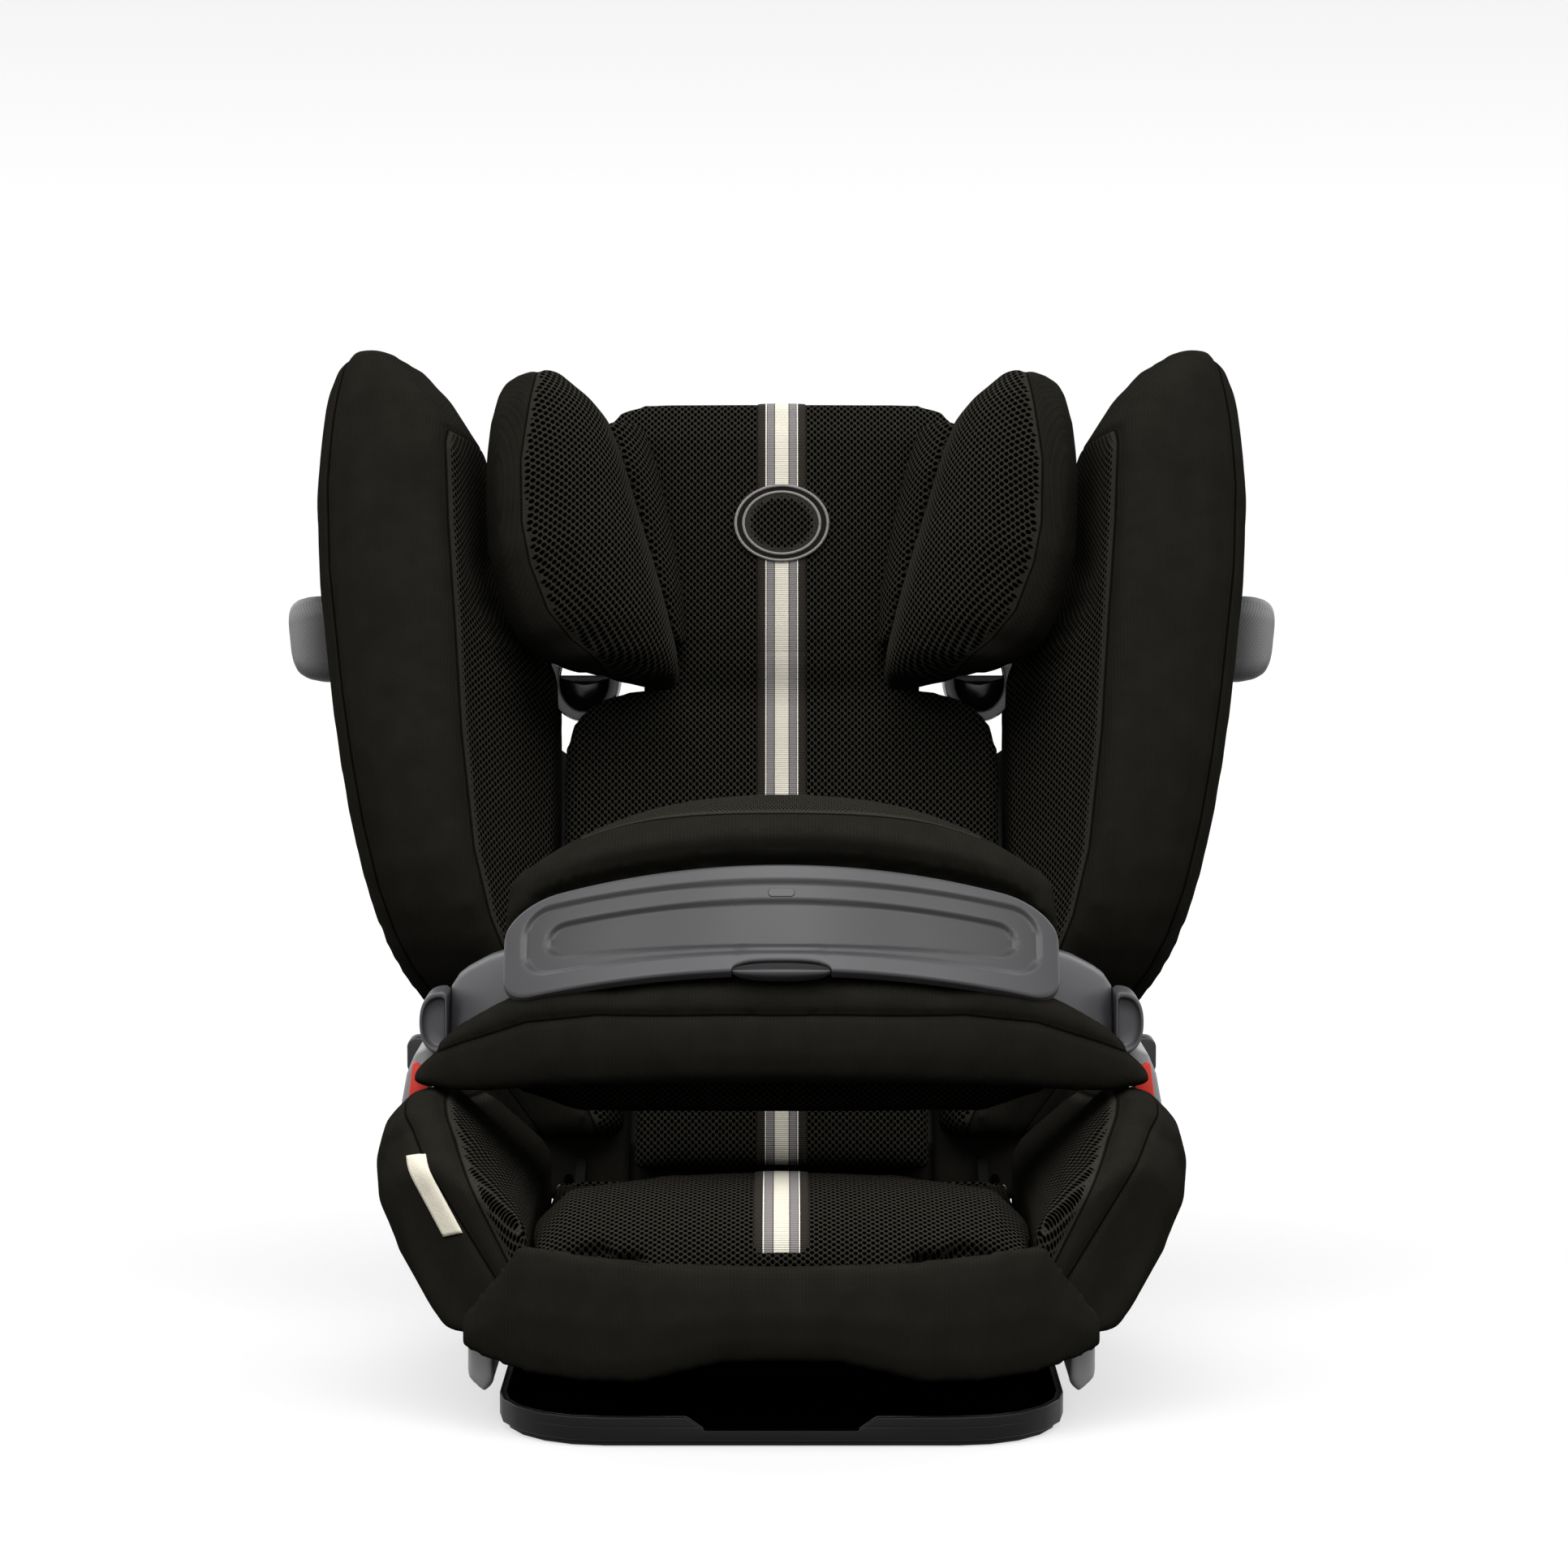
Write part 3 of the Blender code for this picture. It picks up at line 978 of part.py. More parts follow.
def make_carriage(back):
    """A channel that wraps the spine, and the padded panel that it lifts with the headrest."""
    frame = empty("carriage_frame", (0.0, 0.0, 0.0), back)
    inside, wall, lip = SPINE_HALF + 0.0008, 0.0045, 0.048
    front, plate = CARRIAGE_FRONT, -0.0205
    rear_in, rear_out = PLATE_Y + PLATE_THICK + 0.0006, -0.0010
    half = [(inside, plate), (inside, rear_in), (lip, rear_in), (lip, rear_out), (inside + wall, rear_out),
            (inside + wall, front + 0.003), (inside + wall - 0.003, front)]
    section = half + [(-x, y) for x, y in reversed(half)]
    prism("headrest_carriage", section, along_z, CARRIAGE_BOTTOM, CARRIAGE_TOP, DARK_GREY_PLASTIC, frame,
          back)
    block = rounded(rectangle((-0.045, 0.2735), (0.045, 0.2920)), 0.003)
    prism("panel_bracket", block, along_y, -0.0464, CARRIAGE_FRONT - GAP, DARK_GREY_PLASTIC, frame, back)

    halves = [(0.092, 0.118), (0.100, 0.124), (0.130, 0.1305), (0.180, 0.133), (0.230, 0.133),
              (0.252, 0.1315), (0.265, 0.127), (0.275, 0.119), (0.281, 0.108), (0.284, 0.096)]
    rings = []
    for u, half in halves:
        front = PANEL_PAD_FRONT + blend([(0.092, 0.010), (0.105, 0.002), (0.130, 0.0), (0.262, 0.0),
                                         (0.284, 0.006)], u)
        rear = -0.0468
        deep = rear - front
        face = [(-half, rear - 0.45 * deep), (0.006 - half, front + 0.25 * deep),
                (-0.80 * half, front + 0.06 * deep), (-0.45 * half, front), (0.0, front - 0.0008),
                (0.45 * half, front), (0.80 * half, front + 0.06 * deep),
                (half - 0.006, front + 0.25 * deep), (half, rear - 0.45 * deep)]
        rest = [(half - 0.004, rear), (0.5 * half, rear), (0.0, rear), (-0.5 * half, rear),
                (0.004 - half, rear)]
        rings.append([Vector((x, y, u)) for x, y in face + rest])
    rings.append(shrunk(rings[-1], 0.80, (0.0, 0.0015, 0.0025)))
    rings.insert(0, shrunk(rings[0], 0.90, (0.0, 0.001, -0.0020)))
    lofted("back_panel", rings, BLACK_FABRIC, frame, back)

    seat_y = CARRIAGE_FRONT - GAP
    ear = [(seat_y, TILT_U - TILT_BARREL), (seat_y, TILT_U), (seat_y, TILT_U + TILT_BARREL)]
    ear += circle((TILT_Y, TILT_U), TILT_BARREL, 16)[4:13]
    turn = [math.atan2(u - TILT_U, y - TILT_Y) for y, u in ear]
    pin = [(TILT_Y + TILT_RADIUS * math.cos(t), TILT_U + TILT_RADIUS * math.sin(t)) for t in turn]
    axle("tilt_axle", ear, pin, TILT_HALF + 0.0006, 0.008, STEEL, frame, back)

    lever_frame = empty("height_lever_frame", (0.0, -0.022, CARRIAGE_TOP), frame)
    outline = rounded(rectangle((-0.042, CARRIAGE_TOP + RUNNING_GAP), (0.042, LEVER_HANDLE_TOP)),
                      [0.003, 0.003, 0.010, 0.010])
    lever = prism("height_lever", outline, along_y, -0.0325, -0.0130, RED_PLASTIC, lever_frame, back)
    window = rounded(rectangle((-0.030, SPINE_TOP + 0.0035), (0.030, LEVER_HANDLE_TOP - 0.0080)), 0.006)
    cut(lever, "lever_window", *prism_faces(window, along_y, -0.05, 0.01))
    return frame


# Headrest

HEAD_OUTER = [(0.280, 0.0850), (0.283, 0.1083), (0.2915, 0.1376), (0.304, 0.1572), (0.324, 0.1682),
              (0.354, 0.1759), (0.389, 0.1793), (0.420, 0.1788), (0.434, 0.1780), (0.448, 0.1762),
              (0.459, 0.1745), (0.466, 0.1725)]
HEAD_INNER = [(0.275, 0.0625), (0.295, 0.0625), (0.329, 0.0710), (0.369, 0.0832), (0.4085, 0.0948),
              (0.431, 0.1015), (0.444, 0.1088), (0.455, 0.1195), (0.466, 0.1306)]
HEAD_DEPTH = [(0.280, -0.128), (0.290, -0.142), (0.310, -0.153), (0.350, -0.160), (0.410, -0.158),
              (0.445, -0.148), (0.466, -0.130)]
HEAD_BACK = [(0.280, -0.080), (0.290, -0.080), (0.298, -0.050), (0.466, -0.050)]
HEAD_PAD_INNER = [(0.309, 0.0590), (0.334, 0.0590), (0.364, 0.0640), (0.410, 0.0730), (0.449, 0.0850)]


def make_headrest(carriage, back):
    """The headrest: a shell, a middle pad, two thick side pads with thin inner pads, shoulder belt guides."""
    frame = empty("headrest_frame", (0.0, TILT_Y, TILT_U), carriage)
    half = [(0.112, 0.300), (0.146, 0.338), (0.150, 0.360), (0.150, 0.430), (0.132, 0.452)]
    outline = rounded(half + [(-x, u) for x, u in reversed(half)], 0.012, 3)
    prism("headrest_shell", outline, along_y, -0.0495, -0.0445, BLACK_PLASTIC, frame, back)
    tube_x("tilt_barrel", (TILT_Y, TILT_U), TILT_BARREL, TILT_RADIUS + 0.0006, -TILT_HALF, TILT_HALF,
           BLACK_PLASTIC, frame, back)

    rings = []
    for u in [0.296, 0.304, 0.318, 0.340, 0.369, 0.400, 0.425, 0.442, 0.452, 0.459, 0.463]:
        width = min(blend(HEAD_INNER, u) - 0.0012, blend([(0.44, 0.112), (0.456, 0.104), (0.463, 0.096)], u))
        front = HEAD_PAD_FRONT + blend([(0.296, 0.004), (0.312, 0.0), (0.440, 0.0), (0.463, 0.008)], u)
        rear = -0.0500
        face = [(-width, front + 0.004), (-0.7 * width, front + 0.001), (-0.35 * width, front),
                (0.0, front - 0.0006), (0.35 * width, front), (0.7 * width, front + 0.001),
                (width, front + 0.004)]
        rest = [(width, rear), (0.5 * width, rear), (0.0, rear), (-0.5 * width, rear), (-width, rear)]
        rings.append([Vector((x, y, u)) for x, y in face + rest])
    rings.append(shrunk(rings[-1], 0.90, (0.0, 0.002, 0.003)))
    lofted("headrest_centre_pad", rings, BLACK_FABRIC, frame, back)

    for name, side in SIDES:
        rings = []
        for u in [0.2815, 0.285, 0.290, 0.297, 0.306, 0.318, 0.334, 0.354, 0.376, 0.400, 0.420, 0.437,
                  0.449, 0.458, 0.466]:
            outer, inner, depth = blend(HEAD_OUTER, u), blend(HEAD_INNER, u), blend(HEAD_DEPTH, u)
            wide = outer - inner
            back_out = max(inner + 0.35 * wide, outer - 0.024)
            section = [(inner, -0.0500), (inner, -0.0730), (inner - 0.0004, depth + 0.024),
                       (inner + 0.06 * wide, depth + 0.007), (inner + 0.20 * wide, depth),
                       (inner + 0.42 * wide, depth + 0.001), (inner + 0.66 * wide, depth + 0.010),
                       (outer - 0.10 * wide, depth + 0.026), (outer, depth + 0.048), (outer - 0.004, -0.085),
                       (back_out + 0.35 * (outer - back_out), -0.058), (back_out, -0.0500)]
            squeeze = (blend(HEAD_BACK, u) - depth) / (-0.0500 - depth)
            rings.append([Vector((side * x, depth + (y - depth) * squeeze, u)) for x, y in section])
        rings.insert(0, shrunk(rings[0], 0.80, (0.0, 0.0, -0.002)))
        rings.append(shrunk(rings[-1], 0.88, (0.0, 0.0, 0.0025)))
        rings.append(shrunk(rings[-2], 0.60, (0.0, 0.0, 0.0045)))
        lofted(f"headrest_side_pad_{name}", rings, BLACK_MESH, frame, back)

        rings = []
        for u in [0.312, 0.322, 0.340, 0.364, 0.390, 0.415, 0.432, 0.444]:
            low, high = blend(HEAD_PAD_INNER, u), blend(HEAD_INNER, u) - 0.0010
            wide, thick = high - low, blend([(0.312, 0.012), (0.340, 0.020), (0.415, 0.024),
                                             (0.444, 0.018)], u)
            foot = -0.0732
            section = [(low, foot), (low + 0.05 * wide, foot - 0.35 * thick),
                       (low + 0.30 * wide, foot - 0.72 * thick), (low + 0.62 * wide, foot - 0.95 * thick),
                       (high, foot - thick), (high, foot)]
            rings.append([Vector((side * x, y, u)) for x, y in section])
        lofted(f"headrest_inner_pad_{name}", soft_ends(rings, (0.0, 0.0, 1.0), 0.003), BLACK_MESH, frame,
               back)

        hook = [(-0.0441, 0.302), (-0.0441, 0.278), (-0.0400, 0.274), (-0.0240, 0.274), (-0.0200, 0.278),
                (-0.0200, 0.290), (-0.0235, 0.290), (-0.0235, 0.2800), (-0.0255, 0.2780), (-0.0385, 0.2780),
                (-0.0405, 0.2800), (-0.0405, 0.302)]
        x = (side * 0.102, side * 0.1345)
        prism(f"shoulder_belt_guide_{name}", hook, along_x, *x, BLACK_PLASTIC, frame, back)


def main():
    clear_scene()
    base = empty("base_frame", (0.0, 0.0, 0.0))
    make_base(base)
    make_connectors(base)
    seat = empty("seat_frame", (0.0, RECLINE_Y, RECLINE_Z))
    make_rails(base, seat)
    make_booster(seat)
    make_recline_handle(seat)
    make_front_cover(seat)
    make_cushion(seat)
    make_bolsters(seat)
    make_belt_guides(seat)
    make_pivot(seat)
    shield = empty("shield_frame", (0.0, -RECLINE_Y, -RECLINE_Z), seat)
    make_shield_frame(shield)
    make_shield_lever(shield)
    make_lower_pad(shield)
    make_shield_pad(shield)
    back = empty("backrest_frame", (0.0, PIVOT_Y - RECLINE_Y, PIVOT_Z - RECLINE_Z), seat, -LEAN)
    make_back_plate(back)
    make_lumbar_pad(back)
    make_wings(back)
    carriage = make_carriage(back)
    make_headrest(carriage, back)
    bpy.context.view_layer.update()


main()
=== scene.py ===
"""Looks of the child car seat with an impact shield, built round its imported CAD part.

Units are metres, in the CAD frame: the front faces -Y, +Z is up, and right is +X.
"""

import json
import math

import bmesh
import bpy
import numpy as np
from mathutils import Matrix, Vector
from mathutils.bvhtree import BVHTree

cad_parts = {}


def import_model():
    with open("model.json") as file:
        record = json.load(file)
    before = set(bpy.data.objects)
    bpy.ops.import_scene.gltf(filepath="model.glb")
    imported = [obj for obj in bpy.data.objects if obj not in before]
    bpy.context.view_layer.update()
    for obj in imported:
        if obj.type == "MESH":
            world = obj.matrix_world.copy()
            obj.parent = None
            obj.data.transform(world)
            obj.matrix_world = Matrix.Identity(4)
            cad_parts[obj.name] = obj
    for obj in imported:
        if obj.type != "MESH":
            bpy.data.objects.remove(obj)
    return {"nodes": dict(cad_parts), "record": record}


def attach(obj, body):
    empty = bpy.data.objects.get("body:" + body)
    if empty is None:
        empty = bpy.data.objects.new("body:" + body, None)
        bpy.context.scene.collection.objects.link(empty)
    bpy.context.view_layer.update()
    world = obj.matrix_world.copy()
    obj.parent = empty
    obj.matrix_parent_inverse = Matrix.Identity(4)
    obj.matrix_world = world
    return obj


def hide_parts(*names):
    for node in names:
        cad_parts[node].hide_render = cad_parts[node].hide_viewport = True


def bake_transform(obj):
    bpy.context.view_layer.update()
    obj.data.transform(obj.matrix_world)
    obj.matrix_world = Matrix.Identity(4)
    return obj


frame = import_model()
NODES = frame["nodes"]
BODY_OF = {node: body for body, nodes in frame["record"]["behaviour"]["bodies"].items() for node in nodes}
SLOT_OF = {part["node"]: part["material_slot"] for part in frame["record"]["subparts"]}
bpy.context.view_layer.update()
SCENE = bpy.context.scene
SIDES = (("left", -1.0), ("right", 1.0))

# The backrest's own frame: it leans back round its pivot
LEAN = math.radians(16.0)
PIVOT = (0.105, 0.095)


def local(points):
    """World points as columns across, depth and height in the backrest's frame."""
    y, z = points[:, 1] - PIVOT[0], points[:, 2] - PIVOT[1]
    c, s = math.cos(LEAN), math.sin(LEAN)
    return points[:, 0], y * c - z * s, y * s + z * c


def world(x, depth, height):
    """A point of the backrest's frame in the world."""
    c, s = math.cos(LEAN), math.sin(LEAN)
    return Vector((x, PIVOT[0] + depth * c + height * s, PIVOT[1] - depth * s + height * c))


def table(at, pairs):
    """Linear interpolation in a table of (key, value) pairs."""
    keys, values = zip(*pairs)
    return np.interp(at, keys, values)


def smooth_step(value):
    share = np.clip(value, 0.0, 1.0)
    return share * share * (3.0 - 2.0 * share)


# Materials

class Graph:
    """A material's node tree, with short names for the nodes that this file uses."""

    def __init__(self, name, roughness=0.5, **settings):
        self.material = bpy.data.materials.new(name)
        self.material.use_nodes = True
        self.tree = self.material.node_tree
        self.shader = self.tree.nodes["Principled BSDF"]
        self.put(roughness, self.shader.inputs["Roughness"])
        for socket, value in settings.items():
            self.put(value, self.shader.inputs[socket.replace("_", " ")])

    def put(self, value, socket):
        """Links a value to a socket, or sets it there. A colour gets its alpha."""
        if isinstance(value, bpy.types.NodeSocket):
            self.tree.links.new(value, socket)
        else:
            socket.default_value = (*value, 1.0) if socket.type == "RGBA" else value

    def node(self, kind, *values, **settings):
        """A new node with these settings, and these values in its first inputs."""
        made = self.tree.nodes.new(kind)
        for key, value in settings.items():
            setattr(made, key, value)
        for value, socket in zip(values, made.inputs):
            self.put(value, socket)
        return made

    def math(self, operation, *values):
        return self.node("ShaderNodeMath", *values, operation=operation).outputs[0]

    def line(self, value, factor, start):
        """The value times a factor, plus what it starts from."""
        return self.math("MULTIPLY_ADD", value, factor, start)

    def vector(self, operation, *values):
        made = self.node("ShaderNodeVectorMath", *values, operation=operation)
        return made.outputs["Value" if operation == "LENGTH" else "Vector"]

    def split(self, vector):
        return self.node("ShaderNodeSeparateXYZ", vector).outputs

    def join(self, x, y, z=0.0):
        return self.node("ShaderNodeCombineXYZ", x, y, z).outputs[0]

    def attribute(self, name, output="Vector"):
        return self.node("ShaderNodeAttribute", attribute_name=name).outputs[output]

    def place(self):
        return self.node("ShaderNodeTexCoord").outputs["Object"]

    def noise(self, vector, scale, detail=2.0):
        made = self.node("ShaderNodeTexNoise", vector)
        made.inputs["Scale"].default_value = scale
        made.inputs["Detail"].default_value = detail
        return made.outputs["Fac"]

    def step(self, value, low, high):
        """0 below low, 1 above high, smooth between."""
        return self.node("ShaderNodeMapRange", value, low, high, interpolation_type="SMOOTHSTEP").outputs["Result"]

    def mix(self, share, a, b, blend="MIX"):
        made = self.node("ShaderNodeMix", share, data_type="RGBA", blend_type=blend)
        self.put(a, made.inputs[6])
        self.put(b, made.inputs[7])
        return made.outputs[2]

    def shade(self, colour, factor):
        """The colour times a factor."""
        return self.mix(1.0, colour, self.join(factor, factor, factor), "MULTIPLY")

    def wave(self, value, period):
        """A sine from 0 to 1."""
        turned = self.math("SINE", self.math("MULTIPLY", value, 2.0 * math.pi / period))
        return self.line(turned, 0.5, 0.5)

    def lattice(self, a, b, pitch_a, pitch_b, tall=1.0):
        """Distance to the nearest hole of a staggered pattern, in metres."""
        cells = self.join(self.math("DIVIDE", a, pitch_a), self.math("DIVIDE", b, pitch_b))
        found = []
        for shift in (0.0, 0.5):
            moved = self.vector("ADD", cells, (shift, shift, 0.0))
            part = self.vector("SUBTRACT", self.vector("FRACTION", moved), (0.5, 0.5, 0.0))
            found.append(self.vector("LENGTH", self.vector("MULTIPLY", part, (pitch_a, pitch_b / tall, 0.0))))
        return self.math("MINIMUM", *found)

    def finish(self, colour, height=None, depth=0.001, strength=1.0, roughness=None):
        if roughness is not None:
            self.put(roughness, self.shader.inputs["Roughness"])
        self.put(colour, self.shader.inputs["Base Color"])
        if height is not None:
            bump = self.node("ShaderNodeBump")
            bump.inputs["Strength"].default_value = strength
            bump.inputs["Distance"].default_value = depth
            self.put(height, bump.inputs["Height"])
            self.put(bump.outputs[0], self.shader.inputs["Normal"])
        return self.material


MESH_PITCH, HOLE_TALL = (0.0041, 0.0042), 1.3
WEAVE_PITCH, RIB_PITCH = 0.0011, 0.0019
HOLE_FADE, HOLE_EDGE, HOLE_LEAST = (0.0008, 0.0045), (0.00080, 0.00125), 0.05
SEAM_EDGE, SEAM_TONE = (0.0003, 0.0011), 0.25
SMOOTH, YARN, HOLE = (0.0092, 0.0088, 0.0071), (0.0205, 0.0195, 0.0158), (0.0003, 0.0003, 0.0003)


def fabric(name):
    """Upholstery: spacer mesh where the attribute's third value is above 0, and a fine weave below.

    The holes grow from their least size at the border to their full size HOLE_FADE further in.
    """
    g = Graph(name, 0.9, Sheen_Weight=0.008, Sheen_Roughness=0.45, Sheen_Tint=(0.75, 0.72, 0.62),
              Specular_IOR_Level=0.0)
    a, b, inside = g.split(g.attribute("cloth"))
    weave = g.math("MULTIPLY", g.wave(a, WEAVE_PITCH), g.wave(b, WEAVE_PITCH))
    weave = g.line(g.wave(a, RIB_PITCH), 0.5, weave)
    cloud = g.noise(g.place(), 55.0, 3.0)
    fuzz = g.noise(g.place(), 900.0, 1.0)
    plain = g.shade(SMOOTH, g.line(weave, 0.35, g.line(cloud, 0.5, 0.6)))
    opened = g.math("MAXIMUM", g.step(inside, *HOLE_FADE), HOLE_LEAST)
    away = g.step(g.math("DIVIDE", g.lattice(a, b, *MESH_PITCH, HOLE_TALL), opened), *HOLE_EDGE)
    netted = g.mix(away, HOLE, g.shade(YARN, g.line(fuzz, 0.8, 0.6)))
    share = g.step(inside, -0.0004, 0.0004)
    seam = g.math("MINIMUM", g.math("ABSOLUTE", inside), g.math("ABSOLUTE", g.attribute("seam", "Fac")))
    colour = g.shade(g.mix(share, plain, netted), g.line(g.step(seam, *SEAM_EDGE), 1.0 - SEAM_TONE, SEAM_TONE))
    net_height = g.line(away, 0.9, g.math("MULTIPLY", fuzz, 0.12))
    flat_height = g.line(weave, 0.12, g.line(cloud, 0.15, 0.7))
    flat_height = g.math("MULTIPLY", flat_height, g.math("SUBTRACT", 1.0, share))
    return g.finish(colour, g.line(net_height, share, flat_height), 0.0009, 0.8)


def plastic(name, colour, roughness=0.45, grain=1400.0, relief=0.00006, wear=0.25, shine=0.30, painted_shading=False):
    """Moulded plastic: a fine etched grain, faint cloudiness in its gloss and paler worn edges, and, where asked,
    painted shade and highlight that the mesh carries.
    """
    g = Graph(name, roughness, Specular_IOR_Level=shine)
    place = g.place()
    fine, cloud = g.noise(place, grain), g.noise(place, 18.0, 3.0)
    edge = g.step(g.node("ShaderNodeNewGeometry").outputs["Pointiness"], 0.52, 0.62)
    worn = g.math("MULTIPLY", edge, g.math("MULTIPLY", cloud, wear))
    tone = g.line(fine, 0.16, g.line(cloud, 0.16, 0.84))
    # Where asked, the tone is darkened by painted shade and lightened by painted highlight written on the mesh
    if painted_shading:
        tone = g.math("MULTIPLY", tone, g.attribute("painted_shade", "Fac"))
    paler = tuple(min(1.0, 1.8 * c + 0.01) for c in colour)
    rough = g.line(cloud, 0.14, roughness - 0.07)
    return g.finish(g.mix(worn, g.shade(colour, tone), paler), fine, relief, 0.6, rough)


def tray_plastic(name, colour, parting):
    """The base's rim: grained plastic with a parting line round it."""
    g = Graph(name, 0.42, Specular_IOR_Level=0.12)
    place = g.place()
    height = g.math("SUBTRACT", g.split(place)[2], parting)
    line = g.step(g.math("ABSOLUTE", height), 0.0002, 0.0006)
    fine, cloud = g.noise(place, 1400.0), g.noise(place, 18.0, 3.0)
    tone = g.math("MULTIPLY", g.line(line, 0.5, 0.5), g.line(cloud, 0.4, 0.8))
    colour = g.shade(colour, g.line(fine, 0.2, tone))
    return g.finish(colour, g.line(line, 2.0, fine), 0.00008, 0.7, g.line(cloud, 0.15, 0.36))


def steel(name, colour):
    """Bright zinc-plated steel, with drawn lines along it."""
    g = Graph(name, 0.32, Metallic=1.0)
    place = g.place()
    lines = g.noise(g.vector("MULTIPLY", place, (40.0, 900.0, 900.0)), 1.0)
    rough = g.line(g.noise(place, 60.0, 3.0), 0.2, 0.22)
    return g.finish(g.shade(colour, g.line(lines, 0.3, 0.8)), lines, 0.00004, 0.5, rough)


PIT_PITCH, PIT_EDGE = 0.0022, (0.00035, 0.0006)
# Painted shade on the side protectors: the shaded colour at the root, the lit colour at the outer end, and the reach
# over which one turns into the other
POD_PAINTED_SHADE, POD_LIT_TONE = (0.012, 0.012, 0.013), (0.170, 0.170, 0.173)
POD_SHADE_REACH = (0.274, 0.303)


def dotted(name):
    """The side protectors: a grey shell with a grid of small pits, with painted shade that makes it darker towards its
    root.
    """
    g = Graph(name, 0.55, Specular_IOR_Level=0.4)
    a, b, out = g.split(g.attribute("cloth"))
    flat = g.step(g.lattice(a, b, PIT_PITCH, PIT_PITCH), *PIT_EDGE)
    base = g.mix(g.step(out, *POD_SHADE_REACH), POD_PAINTED_SHADE, POD_LIT_TONE)
    colour = g.shade(base, g.line(flat, 0.55, g.line(g.noise(g.place(), 1200.0), 0.12, 0.42)))
    return g.finish(colour, flat, 0.0003, 0.7)


DARK, GREY, WHITE = (0.0180, 0.0155, 0.0125), (0.165, 0.152, 0.152), (0.60, 0.585, 0.53)
CREAM = (0.525, 0.497, 0.42)
# Where each band of the webbing starts, from its middle outwards, and the colour from there on
BANDS = ((0.00405, 0.00425, DARK), (0.00455, 0.00475, GREY), (0.0088, 0.0090, DARK), (0.0092, 0.0093, WHITE),
         (0.0099, 0.0100, DARK))


def webbing(name):
    """The woven stripe: a cream middle, grey bands, white edge lines, and dark ribbed margins."""
    g = Graph(name, 0.75, Sheen_Weight=0.02, Specular_IOR_Level=0.04)
    a, b, _ = g.split(g.attribute("cloth"))
    across = g.math("ABSOLUTE", a)
    colour = CREAM
    for low, high, band in BANDS:
        colour = g.mix(g.step(across, low, high), colour, band)
    ribs, yarns = g.wave(b, 0.0012), g.wave(a, 0.0008)
    tone = g.line(ribs, 0.22, g.line(yarns, 0.10, 0.72))
    colour = g.shade(colour, g.line(g.noise(g.place(), 120.0), 0.12, tone))
    return g.finish(colour, g.line(yarns, 0.3, ribs), 0.00025, 0.8)


def thread(name, colour):
    """Sewing thread, in fine turns along its stitch."""
    g = Graph(name, 0.7, Sheen_Weight=0.2)
    a, b, _ = g.split(g.attribute("cloth"))
    turns = g.wave(g.math("ADD", a, b), 0.0007)
    twist = g.line(turns, 0.7, g.math("MULTIPLY", g.noise(g.place(), 2500.0, 1.0), 0.3))
    return g.finish(g.shade(colour, g.line(twist, 0.6, 0.7)), twist, 0.0002, 0.8)


def tape(name, colour):
    """Plain woven tape."""
    g = Graph(name, 0.8, Sheen_Weight=0.15, Specular_IOR_Level=0.25)
    a, b, _ = g.split(g.attribute("cloth"))
    weave = g.math("MULTIPLY", g.wave(a, 0.0009), g.wave(b, 0.0007))
    tone = g.line(weave, 0.25, g.line(g.noise(g.place(), 90.0, 3.0), 0.25, 0.7))
    return g.finish(g.shade(colour, tone), weave, 0.0002, 0.7)


FABRIC = fabric("seat_fabric")
BLACK_PLASTIC = plastic("black_plastic", (0.011, 0.011, 0.012), 0.42)
BASE_PLASTIC = tray_plastic("base_plastic", (0.0019, 0.0019, 0.0020), 0.0112)
# Near black without gloss: the parts' own dark plastic deepened by painted shade, for the tray's hollow, the booster
# shell and the recline parts
BLACK_SHADE_PLASTIC = plastic("black_shade_plastic", (0.0007, 0.0007, 0.0007), 0.65, wear=0.0, shine=0.0)
PAINTED_STEEL = plastic("painted_steel", (0.0035, 0.0035, 0.0036), 0.50, 900.0, wear=0.1, shine=0.06)
GLOSS_PLASTIC = plastic("gloss_plastic", (0.0045, 0.0045, 0.0050), 0.24, wear=0.1)
TRIM_PLASTIC = plastic("trim_plastic", (0.300, 0.300, 0.305))
DARK_PLASTIC = plastic("dark_grey_plastic", (0.040, 0.040, 0.043))
GREY_PLASTIC = plastic("grey_plastic", (0.042, 0.042, 0.045), 0.40, 1700.0, 0.00004, 0.2)
# The panel's plastic takes painted shade and highlight from its mesh
PANEL_PLASTIC = plastic("panel_plastic", (0.0285, 0.0285, 0.0306), 0.40, 1700.0, 0.00004, 0.2, painted_shading=True)
LIGHT_PLASTIC = plastic("light_grey_plastic", (0.200, 0.200, 0.205))
RED_PLASTIC = plastic("red_plastic", (0.560, 0.040, 0.026), 0.40, wear=0.1)
RUBBER = plastic("sole_rubber", (0.014, 0.014, 0.014), 0.85, 500.0, 0.0002, 0.1)
STEEL = steel("plated_steel", (0.42, 0.42, 0.43))
DOTTED = dotted("dotted_plastic")
WEBBING = webbing("stripe_webbing")
GREY_THREAD = thread("grey_thread", (0.155, 0.145, 0.140))
TAG_CLOTH = tape("tag_cloth", (0.60, 0.56, 0.46))


# Meshes

FAR = 0.05


def mesh_object(name, vertices, faces, material):
    mesh = bpy.data.meshes.new(name)
    mesh.from_pydata([tuple(v) for v in vertices], [], [tuple(f) for f in faces])
    mesh.update()
    mesh.shade_smooth()
    mesh.materials.append(material)
    obj = bpy.data.objects.new(name, mesh)
    SCENE.collection.objects.link(obj)
    return obj


WELD, FLAT_ANGLE = 2e-6, 0.5


